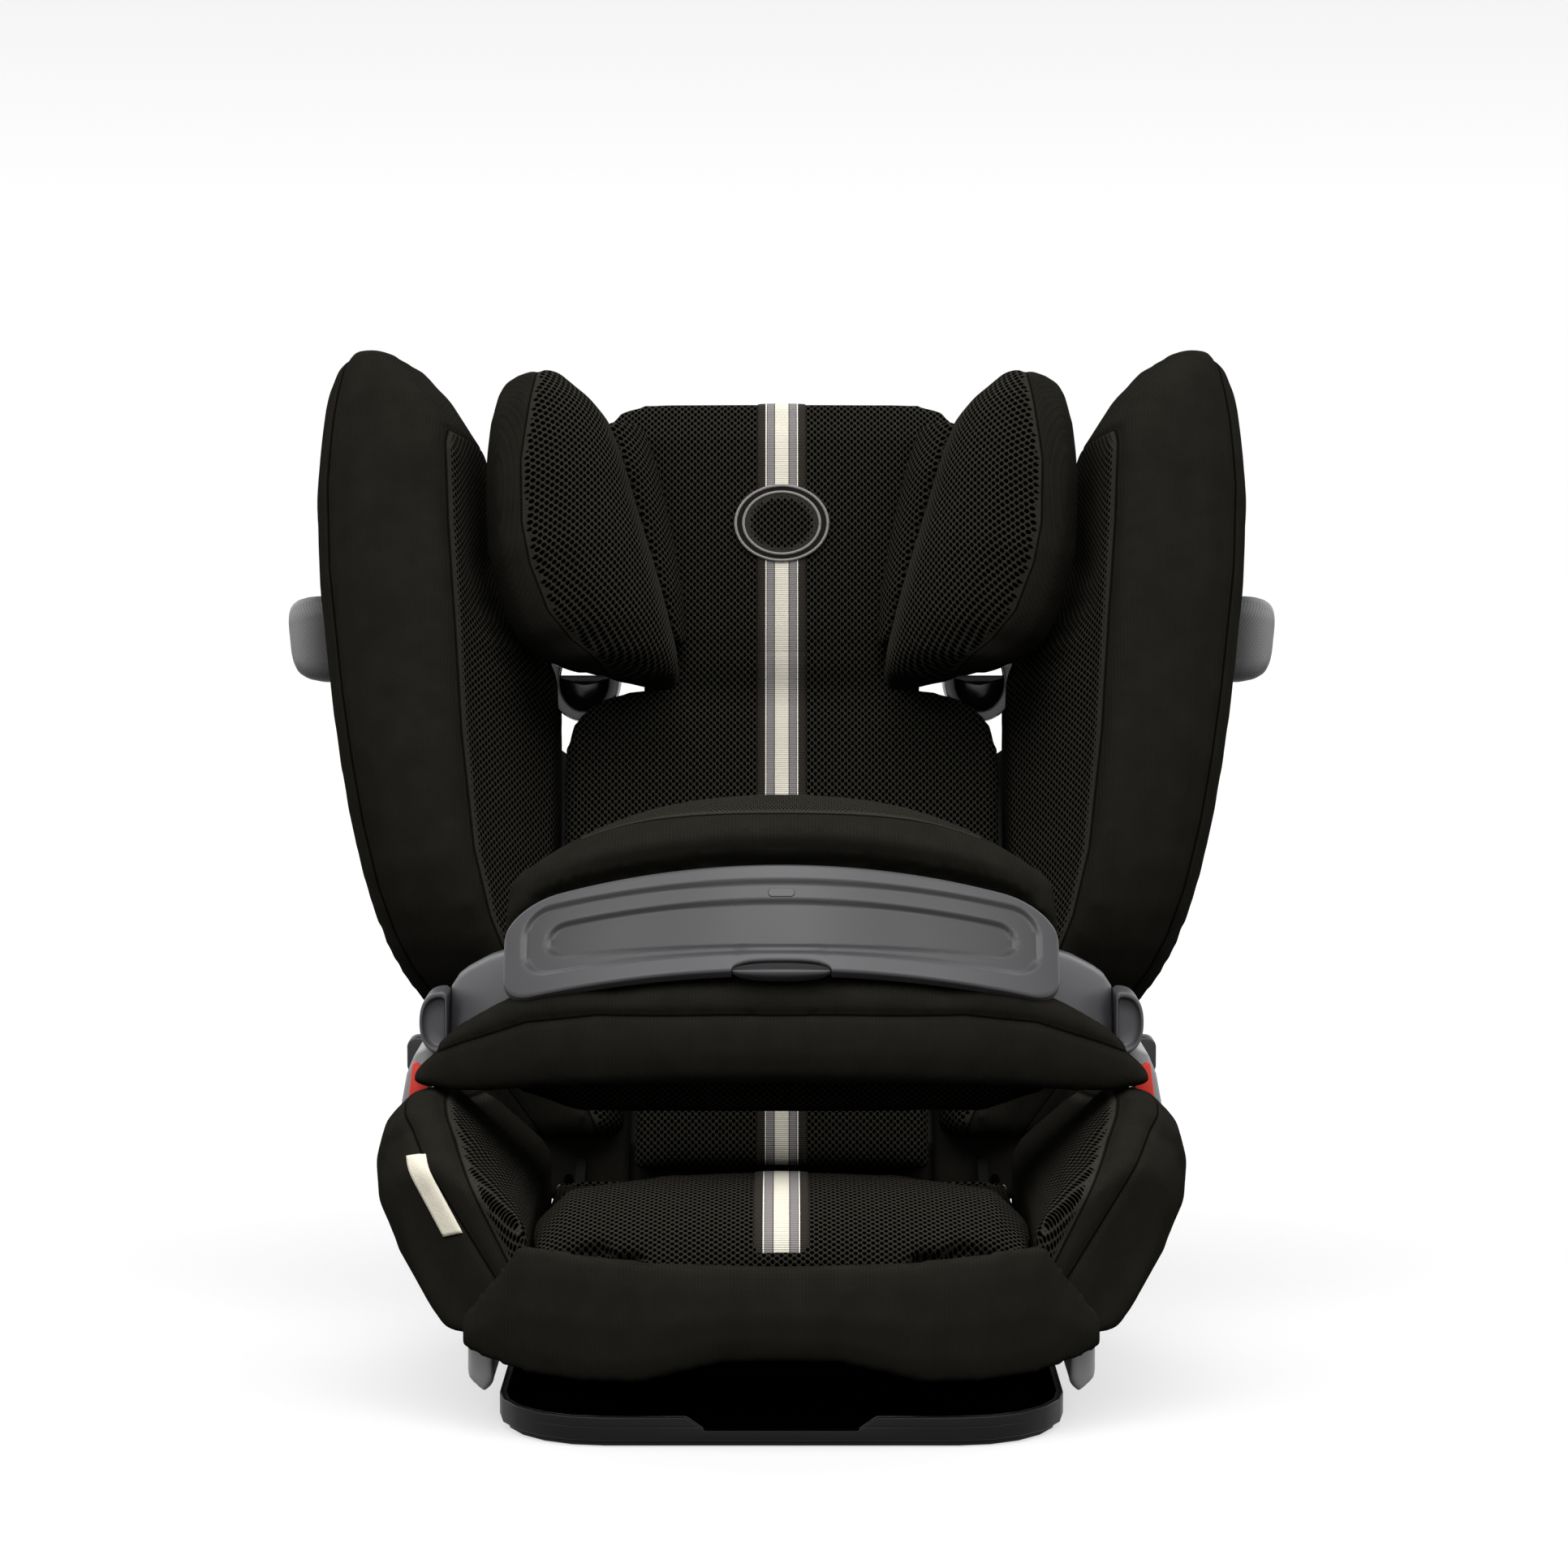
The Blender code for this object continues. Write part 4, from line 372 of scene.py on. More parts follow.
def solid_of(node):
    """A CAD node's points and faces, with the seams between its smoothing groups closed."""
    bm = bmesh.new()
    bm.from_mesh(NODES[node].data)
    bmesh.ops.remove_doubles(bm, verts=bm.verts, dist=WELD)
    bmesh.ops.dissolve_limit(bm, angle_limit=math.radians(FLAT_ANGLE), verts=bm.verts, edges=bm.edges)
    bm.verts.index_update()
    points, faces = [v.co.copy() for v in bm.verts], [[v.index for v in f.verts] for f in bm.faces]
    bm.free()
    return points, faces


def baked(obj):
    """Replaces the object's mesh by what its modifiers make of it."""
    bpy.context.view_layer.update()
    graph = bpy.context.evaluated_depsgraph_get()
    mesh = bpy.data.meshes.new_from_object(obj.evaluated_get(graph), depsgraph=graph)
    obj.modifiers.clear()
    obj.data = mesh
    return obj


def vertex_values(items, key):
    found = np.empty(len(items) * 3, np.float32)
    items.foreach_get(key, found)
    return found.reshape(-1, 3).astype(float)


def points_of(obj):
    return vertex_values(obj.data.vertices, "co")


def normals_of(obj):
    return vertex_values(obj.data.vertex_normals, "vector")


def set_points(obj, points):
    obj.data.vertices.foreach_set("co", points.astype(np.float32).ravel())
    obj.data.update()


SMOOTH_STEPS = (0.5, -0.52)


def relax(obj, times):
    """Smooths the mesh. Each step outwards makes up for a step inwards, so that it keeps its volume."""
    edges = np.empty(len(obj.data.edges) * 2, np.int32)
    obj.data.edges.foreach_get("vertices", edges)
    a, b = edges.reshape(-1, 2).T
    points = points_of(obj)
    size = len(points)
    count = np.bincount(edges, minlength=size)[:, None]
    for factor in SMOOTH_STEPS * times:
        total = [np.bincount(a, axis[b], size) + np.bincount(b, axis[a], size) for axis in points.T]
        points += factor * (np.stack(total, 1) / count - points)
    set_points(obj, points)


def set_cloth(obj, a, b, inside, seam=FAR):
    """Writes where points lie on the cloth, how far inside the border of its mesh, and how far from a seam."""
    attribute = obj.data.attributes.new("cloth", "FLOAT_VECTOR", "POINT")
    values = np.stack([np.broadcast_to(v, a.shape) for v in (a, b, inside)], 1)
    attribute.data.foreach_set("vector", values.astype(np.float32).ravel())
    set_float(obj, "seam", np.broadcast_to(seam, a.shape))


def set_float(obj, name, values):
    attribute = obj.data.attributes.new(name, "FLOAT", "POINT")
    attribute.data.foreach_set("value", np.array(values, np.float32).ravel())


FILL_FRAMES = 20


def blow_up(obj, limit):
    """Fills the piece by a short cloth simulation. No point moves further than the limit."""
    start = points_of(obj)
    cloth = obj.modifiers.new("cloth", "CLOTH")
    settings = cloth.settings
    settings.quality = 4
    settings.mass = 0.15
    settings.tension_stiffness = settings.compression_stiffness = 10.0
    settings.shear_stiffness, settings.bending_stiffness = 4.0, 0.5
    settings.use_pressure = True
    settings.uniform_pressure_force = 6.0
    settings.effector_weights.gravity = 0.0
    cloth.collision_settings.use_collision = False
    cloth.collision_settings.use_self_collision = False
    cloth.point_cache.frame_start, cloth.point_cache.frame_end = 1, FILL_FRAMES
    for step in range(FILL_FRAMES):
        SCENE.frame_set(step + 1)
    baked(obj)
    SCENE.frame_set(1)
    moved = points_of(obj) - start
    length = np.linalg.norm(moved, axis=1, keepdims=True)
    set_points(obj, start + moved * np.minimum(1.0, limit / np.maximum(length, 1e-9)))


# How far a pad's skin may stand out of its CAD solid, how far it may be moved there, and how full the pads are
PROUD, MOST_FILL, FILL = 0.0003, 0.01, 0.7
# How often a pad is smoothed before it is filled, and before each time that it is brought back to its solid
FIRST_SMOOTHING, FILL_SMOOTHINGS = 3, (2, 2, 1)


def fill_out(obj, solid):
    """Moves the piece's skin out to its CAD solid, or back to it, which it may stand out of by a little."""
    tree = BVHTree.FromPolygons(*solid)
    placed, normals = points_of(obj), normals_of(obj)
    short = np.empty(len(placed))
    for index, point in enumerate(placed):
        place, normal, _, _ = tree.find_nearest(Vector(point))
        short[index] = PROUD - (Vector(point) - place).dot(normal)
    set_points(obj, placed + normals * np.clip(short, -MOST_FILL, MOST_FILL)[:, None])


def remeshed(name, solid, material, voxel):
    """A solid's skin as an even mesh."""
    obj = mesh_object(name, *solid, material)
    remesh = obj.modifiers.new("remesh", "REMESH")
    remesh.mode, remesh.voxel_size, remesh.use_smooth_shade = "VOXEL", voxel, True
    baked(obj)
    obj.data.materials.clear()
    obj.data.materials.append(material)
    return obj


def soften(node, voxel, inset, limit, cloth, rounding=6, shape=None, grooves=None):
    """A padded piece: the CAD solid remeshed, drawn in, filled, subdivided, shaped, grooved and given its cloth."""
    solid = solid_of(node)
    obj = remeshed(f"{node}_padding", solid, FABRIC, voxel)
    relax(obj, FIRST_SMOOTHING)
    set_points(obj, points_of(obj) - normals_of(obj) * inset)
    blow_up(obj, limit)
    for times in FILL_SMOOTHINGS:
        relax(obj, times)
        fill_out(obj, solid)
    relax(obj, rounding)
    subdivision = obj.modifiers.new("subdivision", "SUBSURF")
    subdivision.levels = subdivision.render_levels = 1
    baked(obj)
    if shape:
        set_points(obj, shape(points_of(obj)))
    if grooves:
        placed, out = points_of(obj), normals_of(obj)
        for distance, depth, width in grooves(placed):
            placed -= out * (depth * np.exp(-(distance / width) ** 2))[:, None]
        set_points(obj, placed)
    obj.data.shade_smooth()
    return dress(obj, node, cloth)


def dress(obj, node, cloth):
    """Writes a pad's cloth, and puts the pad in the place of its CAD solid."""
    set_cloth(obj, *cloth(points_of(obj)))
    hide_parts(node)
    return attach(obj, BODY_OF[node])


def mirror(obj, node, cloth):
    """The other side's pad, as the mirror image of a finished one."""
    points = points_of(obj) * (-1.0, 1.0, 1.0)
    faces = [tuple(reversed(p.vertices)) for p in obj.data.polygons]
    return dress(mesh_object(f"{node}_padding", points, faces, FABRIC), node, cloth)


# Padded pieces

# Borders on the backrest's pads, each as heights and how far out the border is there
WING_EDGE = [(0.014, 0.1100), (0.050, 0.1250), (0.096, 0.1570), (0.111, 0.1615), (0.135, 0.1712),
             (0.173, 0.1803), (0.241, 0.1880), (0.309, 0.1929), (0.369, 0.1977), (0.4185, 0.2004),
             (0.4285, 0.2000), (0.4345, 0.1930), (0.440, 0.1780), (0.480, 0.1500)]
WING_OUTER = [(0.014, 0.1520), (0.062, 0.1880), (0.091, 0.2131), (0.108, 0.2268), (0.126, 0.2365),
              (0.153, 0.2462), (0.191, 0.2555), (0.229, 0.2624), (0.268, 0.2684), (0.344, 0.2775),
              (0.395, 0.2800), (0.436, 0.2780), (0.474, 0.2735), (0.484, 0.2690)]
HEAD_BORDER = [(0.270, 0.085), (0.2805, 0.100), (0.300, 0.125), (0.316, 0.1385), (0.344, 0.1495),
               (0.369, 0.1545), (0.4085, 0.1555), (0.449, 0.1505), (0.470, 0.147)]
HEAD_PLAIN = [(0.270, 0.050), (0.300, 0.058), (0.344, 0.070), (0.400, 0.084), (0.450, 0.104), (0.470, 0.114)]
# Heights and how far forward the wings' fronts are there
WING_DEPTH = [(0.014, -0.050), (0.050, -0.054), (0.078, -0.082), (0.096, -0.104), (0.115, -0.123),
              (0.150, -0.142), (0.220, -0.155), (0.330, -0.160), (0.420, -0.156), (0.455, -0.146),
              (0.480, -0.128)]
# How large the cloth's mesh is drawn, and how it runs over a pad: by shares of the pad's depth and of its width
WING_MESH_SCALE, SEAT_MESH_SCALE, BOLSTER_SCALE = 0.65, 0.88, (0.8, 0.72)
WING_RUN, INNER_RUN, HEAD_RUN, SEAT_RUN, COVER_RUN, LOWER_RUN = (0.93, 0.37), (0.8, 0.6), 0.7, 1.35, 0.5, 0.4
HEAD_FADE, HEAD_FADE_RATE = 0.0016, 0.20
RIM_INSET, RIM_FRONT = 0.0085, 0.036


def wing_border(points):
    x, _, height = local(points)
    return table(height, WING_EDGE) - np.abs(x)


def wing_cloth(points):
    x, depth, height = local(points)
    inside = wing_border(points)
    across = np.where(inside > 0.0, WING_MESH_SCALE * (WING_RUN[0] * depth - WING_RUN[1] * np.abs(x)), x)
    return across, height, inside, wing_rim(points)


def wing_rim(points):
    """Distance to the seam that runs just inside a wing's outer edge, on its front."""
    x, depth, height = local(points)
    front = depth < table(height, WING_DEPTH) + RIM_FRONT
    return np.where(front, table(height, WING_OUTER) - RIM_INSET - np.abs(x), FAR)


def wing_grooves(points):
    """Each groove's distance, depth and half width."""
    yield wing_rim(points), 0.0016, 0.0022
    yield wing_border(points), 0.0014, 0.0030


def head_cloth(points):
    x, depth, height = local(points)
    border = table(height, HEAD_BORDER) - np.abs(x)
    fading = HEAD_FADE + HEAD_FADE_RATE * np.maximum(0.0, np.abs(x) - table(height, HEAD_PLAIN))
    return np.abs(x) - HEAD_RUN * depth, height, np.minimum(border, fading)


def head_grooves(points):
    yield head_cloth(points)[2], 0.0012, 0.0028


def inner_cloth(points):
    x, depth, height = local(points)
    return INNER_RUN[1] * np.abs(x) - INNER_RUN[0] * depth, height, FAR


def back_cloth(points):
    x, _, height = local(points)
    return x, height, FAR


def seat_cloth(points):
    x, y, z = points.T
    return SEAT_MESH_SCALE * x, SEAT_MESH_SCALE * (y + SEAT_RUN * z), FAR


def cover_cloth(points):
    x, y, z = points.T
    return x, z - COVER_RUN * y, -FAR


# A bolster's slanting border and the seam down its front: a place on each, and what gives a distance from it
BORDER_PLACE, BORDER_SLOPE, BORDER_FACTOR = (0.1530, 0.107), 0.543, 0.88
SEAM_PLACE, SEAM_ACROSS, SEAM_FRONT = (0.159, 0.094), (0.829, 0.559), -0.085


def bolster_border(points):
    x, _, z = points.T
    return BORDER_FACTOR * (BORDER_PLACE[0] + BORDER_SLOPE * (z - BORDER_PLACE[1]) - np.abs(x))


def bolster_cloth(points):
    x, y, z = points.T
    across, along = BOLSTER_SCALE[0] * (y + np.abs(x)), BOLSTER_SCALE[1] * (np.abs(x) + z)
    return across, along, bolster_border(points), bolster_seam(points)


def bolster_seam(points):
    """Distance to the seam down a bolster's front."""
    x, y, z = points.T
    off = SEAM_ACROSS[0] * (np.abs(x) - SEAM_PLACE[0]) - SEAM_ACROSS[1] * (z - SEAM_PLACE[1])
    return np.where(y < SEAM_FRONT, off, FAR)


def bolster_grooves(points):
    yield bolster_border(points), 0.0013, 0.0028
    yield bolster_seam(points), 0.0014, 0.0024


LOWER_FRONT = -0.07
LOWER_SEAM = [(0.0, 0.2310), (0.030, 0.2308), (0.100, 0.2275), (0.140, 0.2200), (0.178, 0.2040),
              (0.206, 0.1900)]


def lower_seam(points):
    """Distance to the seam along the lower pad's front."""
    x, y, z = points.T
    return np.where(y < LOWER_FRONT, z - table(np.abs(x), LOWER_SEAM), FAR)


def lower_cloth(points):
    x, y, z = points.T
    return x, z - LOWER_RUN * y, -FAR, lower_seam(points)


def lower_grooves(points):
    yield lower_seam(points), 0.0015, 0.0024


LOWER_LIFT = [(0.0, 0.0), (0.090, 0.0), (0.120, 0.0050), (0.150, 0.0095), (0.180, 0.0110), (0.192, 0.0090),
              (0.206, 0.0)]
LOWER_TOP = [(0.0, 0.249), (0.150, 0.2213), (0.175, 0.2038), (0.187, 0.1950), (0.206, 0.1800)]
LOWER_BOTTOM = 0.1756
CUSHION_DIP = [(-0.140, 0.0), (-0.120, 0.0022), (-0.100, 0.0062), (-0.050, 0.0115), (0.0, 0.0145),
               (0.044, 0.0170)]
DIP_LEVEL, DIP_FADE = 0.096, 0.014
SIDE_DIP, SIDE_DIP_START, SIDE_DIP_LENGTH = 0.6, 0.060, 0.050
ROLL_TOP, ROLL_DROP, ROLL_FADE, ROLL_HALF, ROLL_END = 0.192, 0.0105, 0.018, 0.150, 0.040
BROW_HIGH, BROW_FALL, BROW_DEPTH, BROW_FADE = 0.3260, 1.30, 0.0130, 0.020
BROW_LOW, BROW_LOW_FADE, BROW_BACK = 0.225, 0.030, -0.075
LENS_FRONT, LENS_CURVE, LENS_LOW, LENS_HALF, LENS_FACTOR = -0.124, 2.75, 0.290, 0.112, 0.8
LENS_MESH_SCALE, LENS_MOST, REAR_START, WELL_INSIDE = 2.0, 0.0035, 0.045, 0.02


def moved(points, back, up):
    return points + np.stack([0.0 * points[:, 0], back + 0.0 * points[:, 0], up], 1)


def lower_shape(points):
    """The lower pad's top swells up to the straps over it."""
    x, _, z = points.T
    share = smooth_step((z - LOWER_BOTTOM) / (table(np.abs(x), LOWER_TOP) - LOWER_BOTTOM))
    return moved(points, 0.0, table(np.abs(x), LOWER_LIFT) * share)


def cushion_shape(points):
    """The cushion falls away behind its crest, and more so at its sides."""
    x, y, z = points.T
    sides = 1.0 + SIDE_DIP * smooth_step((np.abs(x) - SIDE_DIP_START) / SIDE_DIP_LENGTH)
    return moved(points, 0.0, -table(y, CUSHION_DIP) * (smooth_step((z - DIP_LEVEL) / DIP_FADE) * sides))


def pad_shape(points):
    """The inner pad's underside hangs in a roll below the lower pad, and its brow overhangs the panel."""
    x, y, z = points.T
    roll = smooth_step((ROLL_TOP - z) / ROLL_FADE) * smooth_step((ROLL_HALF - np.abs(x)) / ROLL_END)
    brow = smooth_step((BROW_HIGH - BROW_FALL * x ** 2 - z) / BROW_FADE)
    brow = brow * smooth_step((z - BROW_LOW) / BROW_LOW_FADE)
    brow *= smooth_step((BROW_BACK - y) / BROW_FADE)
    return moved(points, BROW_DEPTH * brow, -ROLL_DROP * roll)


def pad_cloth(points):
    """Fine mesh on the pad's top behind its curved seam, coarse mesh on its underside, and plain cloth between."""
    x, y, z = points.T
    behind = y - LENS_FRONT - LENS_CURVE * x ** 2
    lens = np.where((z > LENS_LOW) & (np.abs(x) < LENS_HALF), LENS_FACTOR * behind, -WELL_INSIDE)
    scale = np.where(lens > 0.0, LENS_MESH_SCALE, 1.0)
    under = np.where((z < ROLL_TOP) | (behind > REAR_START) & (lens < 0.0), WELL_INSIDE, -WELL_INSIDE)
    return scale * x, scale * (y - z), np.maximum(np.minimum(lens, LENS_MOST), under)


PADS = {}


def make_pads():
    """Every padded piece, each left one simulated and its right one mirrored from it."""
    sided = {
        "wing_pad": dict(voxel=0.0045, inset=0.004, limit=0.0045, cloth=wing_cloth, grooves=wing_grooves,
                         rounding=16),
        "headrest_side_pad": dict(voxel=0.0040, inset=0.003, limit=0.0035, cloth=head_cloth,
                                  grooves=head_grooves, rounding=24),
        "headrest_inner_pad": dict(voxel=0.0030, inset=0.0020, limit=0.0026, cloth=inner_cloth),
        "side_bolster": dict(voxel=0.0042, inset=0.003, limit=0.0036, cloth=bolster_cloth,
                             grooves=bolster_grooves),
    }
    for node, options in sided.items():
        left = PADS[f"{node}_left"] = soften(f"{node}_left", **options)
        PADS[f"{node}_right"] = mirror(left, f"{node}_right", options["cloth"])
    middle = {
        "headrest_centre_pad": dict(voxel=0.0045, inset=0.0025, limit=0.003, cloth=back_cloth),
        "back_panel": dict(voxel=0.0045, inset=0.0025, limit=0.003, cloth=back_cloth),
        "lumbar_pad": dict(voxel=0.0040, inset=0.0015, limit=0.002, cloth=back_cloth),
        "seat_cushion": dict(voxel=0.0050, inset=0.003, limit=0.0036, cloth=seat_cloth, shape=cushion_shape),
        "front_cover": dict(voxel=0.0030, inset=0.0008, limit=0.0012, cloth=cover_cloth),
        "shield_lower_pad": dict(voxel=0.0038, inset=0.003, limit=0.0036, cloth=lower_cloth, shape=lower_shape,
                                 grooves=lower_grooves),
        "shield_pad": dict(voxel=0.0040, inset=0.003, limit=0.0036, cloth=pad_cloth, shape=pad_shape),
    }
    for node, options in middle.items():
        PADS[node] = soften(node, **options)


make_pads()


# Sewn pieces

INTO_BACK = world(0.0, 1.0, 0.0) - world(0.0, 0.0, 0.0)
# Where rays start: in front of the backrest, outside a fan's centre, above the seat and outside the tag
RAY_START, FAN_START, RAY_ABOVE, TAG_RAY = -0.3, 0.2, 0.5, 0.05


def settle(obj, slot, body, *nodes):
    """Gives a piece its body, and puts it in the place of the CAD nodes that it stands for. Its slot is not used."""
    if nodes:
        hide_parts(*nodes)
    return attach(obj, body)


def tree_of(obj):
    return BVHTree.FromPolygons([v.co for v in obj.data.vertices], [p.vertices for p in obj.data.polygons])


def run_of(path):
    """How far along a path each of its points is."""
    return np.concatenate([[0.0], np.cumsum(np.linalg.norm(np.diff(path, axis=0), axis=1))])


def full_turn(count):
    return np.linspace(0.0, 2.0 * math.pi, count, endpoint=False)


def ring_faces(rings, size, closed=False):
    """The faces of a skin through rings of points. A closed one goes on from the last ring to the first."""
    faces = []
    for ring in range(rings if closed else rings - 1):
        here, after = ring * size, (ring + 1) % rings * size
        for c in range(size):
            d = (c + 1) % size
            faces.append((here + c, here + d, after + d, after + c))
    return faces


def slab(name, grid, lift, sink, material, across, along, inside=0.0):
    """A closed sheet on a grid of points: its top stands the lift above them, and its underside the sink below."""
    rows, columns = grid.shape[:2]
    normals = np.cross(np.gradient(grid, axis=1), np.gradient(grid, axis=0))
    normals /= np.linalg.norm(normals, axis=2, keepdims=True)
    points = np.concatenate([(grid + normals * lift).reshape(-1, 3), (grid - normals * sink).reshape(-1, 3)])
    place = np.arange(rows * columns).reshape(rows, columns)
    low = place + rows * columns
    faces = []
    for r in range(rows - 1):
        for c in range(columns - 1):
            faces.append((place[r, c], place[r, c + 1], place[r + 1, c + 1], place[r + 1, c]))
            faces.append((low[r, c], low[r + 1, c], low[r + 1, c + 1], low[r, c + 1]))
    border = [(0, c) for c in range(columns)] + [(r, columns - 1) for r in range(1, rows)]
    border += [(rows - 1, c) for c in range(columns - 2, -1, -1)] + [(r, 0) for r in range(rows - 2, 0, -1)]
    for here, after in zip(border, border[1:] + border[:1]):
        faces.append((place[here], low[here], low[after], place[after]))
    obj = mesh_object(name, points, faces, material)
    across, along = (np.tile(np.broadcast_to(values, (rows, columns)).ravel(), 2) for values in (across, along))
    set_cloth(obj, across, along, inside)
    return obj


STRIPE_HALF, STRIPE_COLUMNS, STRIPE_PITCH = 0.0147, 13, 0.003
STRIPE_LIFT, STRIPE_EDGE_LIFT, STRIPE_SINK, STRIPE_SMOOTHINGS = 0.0010, 0.0006, 0.0012, 3


def stripe(name, pad, rays):
    """Webbing sewn along the middle of a pad. Each ray, a start and a direction at x = 0, gives one row of it."""
    tree = tree_of(pad)
    shares = np.linspace(-1.0, 1.0, STRIPE_COLUMNS)
    rows = []
    for start, way in rays:
        hits = [tree.ray_cast(Vector((share * STRIPE_HALF, start.y, start.z)), way)[0] for share in shares]
        if None not in hits:
            rows.append([tuple(hit) for hit in hits])
    grid = np.array(rows)
    for _ in range(STRIPE_SMOOTHINGS):
        grid[1:-1, :, 1:] = 0.5 * grid[1:-1, :, 1:] + 0.25 * (grid[2:, :, 1:] + grid[:-2, :, 1:])
        grid[:, :, 1:] = 0.7 * grid[:, :, 1:] + 0.3 * grid[:, :, 1:].mean(axis=1, keepdims=True)
    along = run_of(grid[:, STRIPE_COLUMNS // 2])
    lift = STRIPE_LIFT + (STRIPE_EDGE_LIFT - STRIPE_LIFT) * np.abs(shares) ** 6
    return slab(name, grid, lift[None, :, None], STRIPE_SINK, WEBBING, shares * STRIPE_HALF, along[:, None])


def front_rays(low, high):
    """Level rays into the backrest from its front, from one height to another."""
    return [(world(0.0, RAY_START, height), INTO_BACK) for height in np.arange(low, high, STRIPE_PITCH)]


def fan_rays(centre, start, end, count, place):
    """Rays inwards from a circle round a centre, between two angles: 0 is forwards and a quarter turn is up."""
    found = []
    for angle in np.linspace(math.radians(start), math.radians(end), count):
        out = place(-math.cos(angle), math.sin(angle)) - place(0.0, 0.0)
        found.append((place(*centre) + FAN_START * out, -out))
    return found


# Each stripe's lower and upper end, and the centres of the turns round the headrest's top and the cushion's front
HEAD_STRIPE, HEAD_TURN = (0.300, 0.4480), (-0.0605, 0.4520)
PANEL_STRIPE, LUMBAR_STRIPE = (0.094, 0.2830), (-0.004, 0.0785)
SEAT_STRIPE, SEAT_TURN = (-0.158, 0.034), (-0.150, 0.085)


def make_stripes():
    """The middle stripe, in one length on each pad that it crosses."""
    over = fan_rays(HEAD_TURN, 0.0, 100.0, 26, lambda depth, height: world(0.0, depth, height))
    front = fan_rays(SEAT_TURN, 5.0, 88.0, 22, lambda y, z: Vector((0.0, y, z)))
    down = Vector((0.0, 0.0, -1.0))
    rear = [(Vector((0.0, y, RAY_ABOVE)), down) for y in np.arange(*SEAT_STRIPE, STRIPE_PITCH)]
    for name, pad, rays, body in (
        ("headrest_stripe", "headrest_centre_pad", front_rays(*HEAD_STRIPE) + over, "headrest"),
        ("back_panel_stripe", "back_panel", front_rays(*PANEL_STRIPE), "carriage"),
        ("lumbar_stripe", "lumbar_pad", front_rays(*LUMBAR_STRIPE), "backrest"),
        ("seat_stripe", "seat_cushion", front + rear, "seat"),
    ):
        settle(stripe(name, PADS[pad], rays), "black_fabric", body)


PATCH_HEIGHT, PATCH_HALF, PATCH_LIFT, PATCH_SINK = 0.3865, (0.0293, 0.0245), 0.0017, 0.0008
PATCH_SIDES, PATCH_RINGS = 72, 16
RING_SHARES, RING_RADIUS, RING_SIDES = (0.965, 0.80), 0.0009, 8
PATCH_FIELD = 0.02


def ring_bar(name, path, radius, material):
    """A round bar along a closed path of points. The cloth attribute runs along it."""
    path = np.array(path)
    ahead = np.roll(path, -1, 0) - np.roll(path, 1, 0)
    ahead /= np.linalg.norm(ahead, axis=1, keepdims=True)
    side = np.cross(ahead, (0.0, 0.0, 1.0)) + 1e-6
    side /= np.linalg.norm(side, axis=1, keepdims=True)
    other = np.cross(side, ahead)
    turns = full_turn(RING_SIDES)
    points = [p + radius * (math.cos(t) * s + math.sin(t) * o) for p, s, o in zip(path, side, other) for t in turns]
    obj = mesh_object(name, points, ring_faces(len(path), RING_SIDES, closed=True), material)
    set_cloth(obj, np.tile(turns * radius, len(path)), np.repeat(run_of(path), RING_SIDES), 0.0)
    return obj


def make_patch():
    """The oval patch on the headrest: plain cloth with a field of mesh, inside two stitched rings."""
    tree = tree_of(PADS["headrest_centre_pad"])

    def oval(share):
        return [(share * PATCH_HALF[0] * math.cos(t), share * PATCH_HALF[1] * math.sin(t))
                for t in full_turn(PATCH_SIDES)]

    def on_pad(spots, lift):
        starts = [world(across, RAY_START, PATCH_HEIGHT + height) for across, height in spots]
        return [np.array(tree.ray_cast(start, INTO_BACK)[0] - INTO_BACK * lift) for start in starts]

    shares = np.linspace(0.0, 1.0, PATCH_RINGS + 1)[1:]
    spots = [(0.0, 0.0)] + [spot for share in shares for spot in oval(share)]
    border = spots[-PATCH_SIDES:]
    points = on_pad(spots, PATCH_LIFT) + on_pad(border, -PATCH_SINK)
    faces = [(0, 1 + (c + 1) % PATCH_SIDES, 1 + c) for c in range(PATCH_SIDES)]
    faces += [tuple(1 + place for place in face) for face in ring_faces(PATCH_RINGS + 1, PATCH_SIDES)]
    faces.append(tuple(range(len(points) - PATCH_SIDES, len(points))))
    obj = mesh_object("headrest_patch", points, faces, FABRIC)
    across, height = np.array(spots + border).T
    share = np.hypot(across / PATCH_HALF[0], height / PATCH_HALF[1])
    set_cloth(obj, across, height, PATCH_FIELD * (RING_SHARES[1] - share))
    settle(obj, "black_fabric", "headrest")
    for number, share in enumerate(RING_SHARES):
        bar = ring_bar(f"headrest_patch_ring_{number + 1}", on_pad(oval(share), PATCH_LIFT), RING_RADIUS, GREY_THREAD)
        settle(bar, "black_fabric", "headrest")


TAG_CORNERS = ((-0.2046, -0.1463, 0.1471), (-0.1942, -0.1534, 0.1497), (-0.1828, -0.1657, 0.1065),
               (-0.1726, -0.1719, 0.1100))
TAG_INWARDS = Vector((0.55, 0.75, -0.25))
TAG_ROWS, TAG_COLUMNS, TAG_LIFT, TAG_SINK = 25, 9, 0.0007, 0.0010


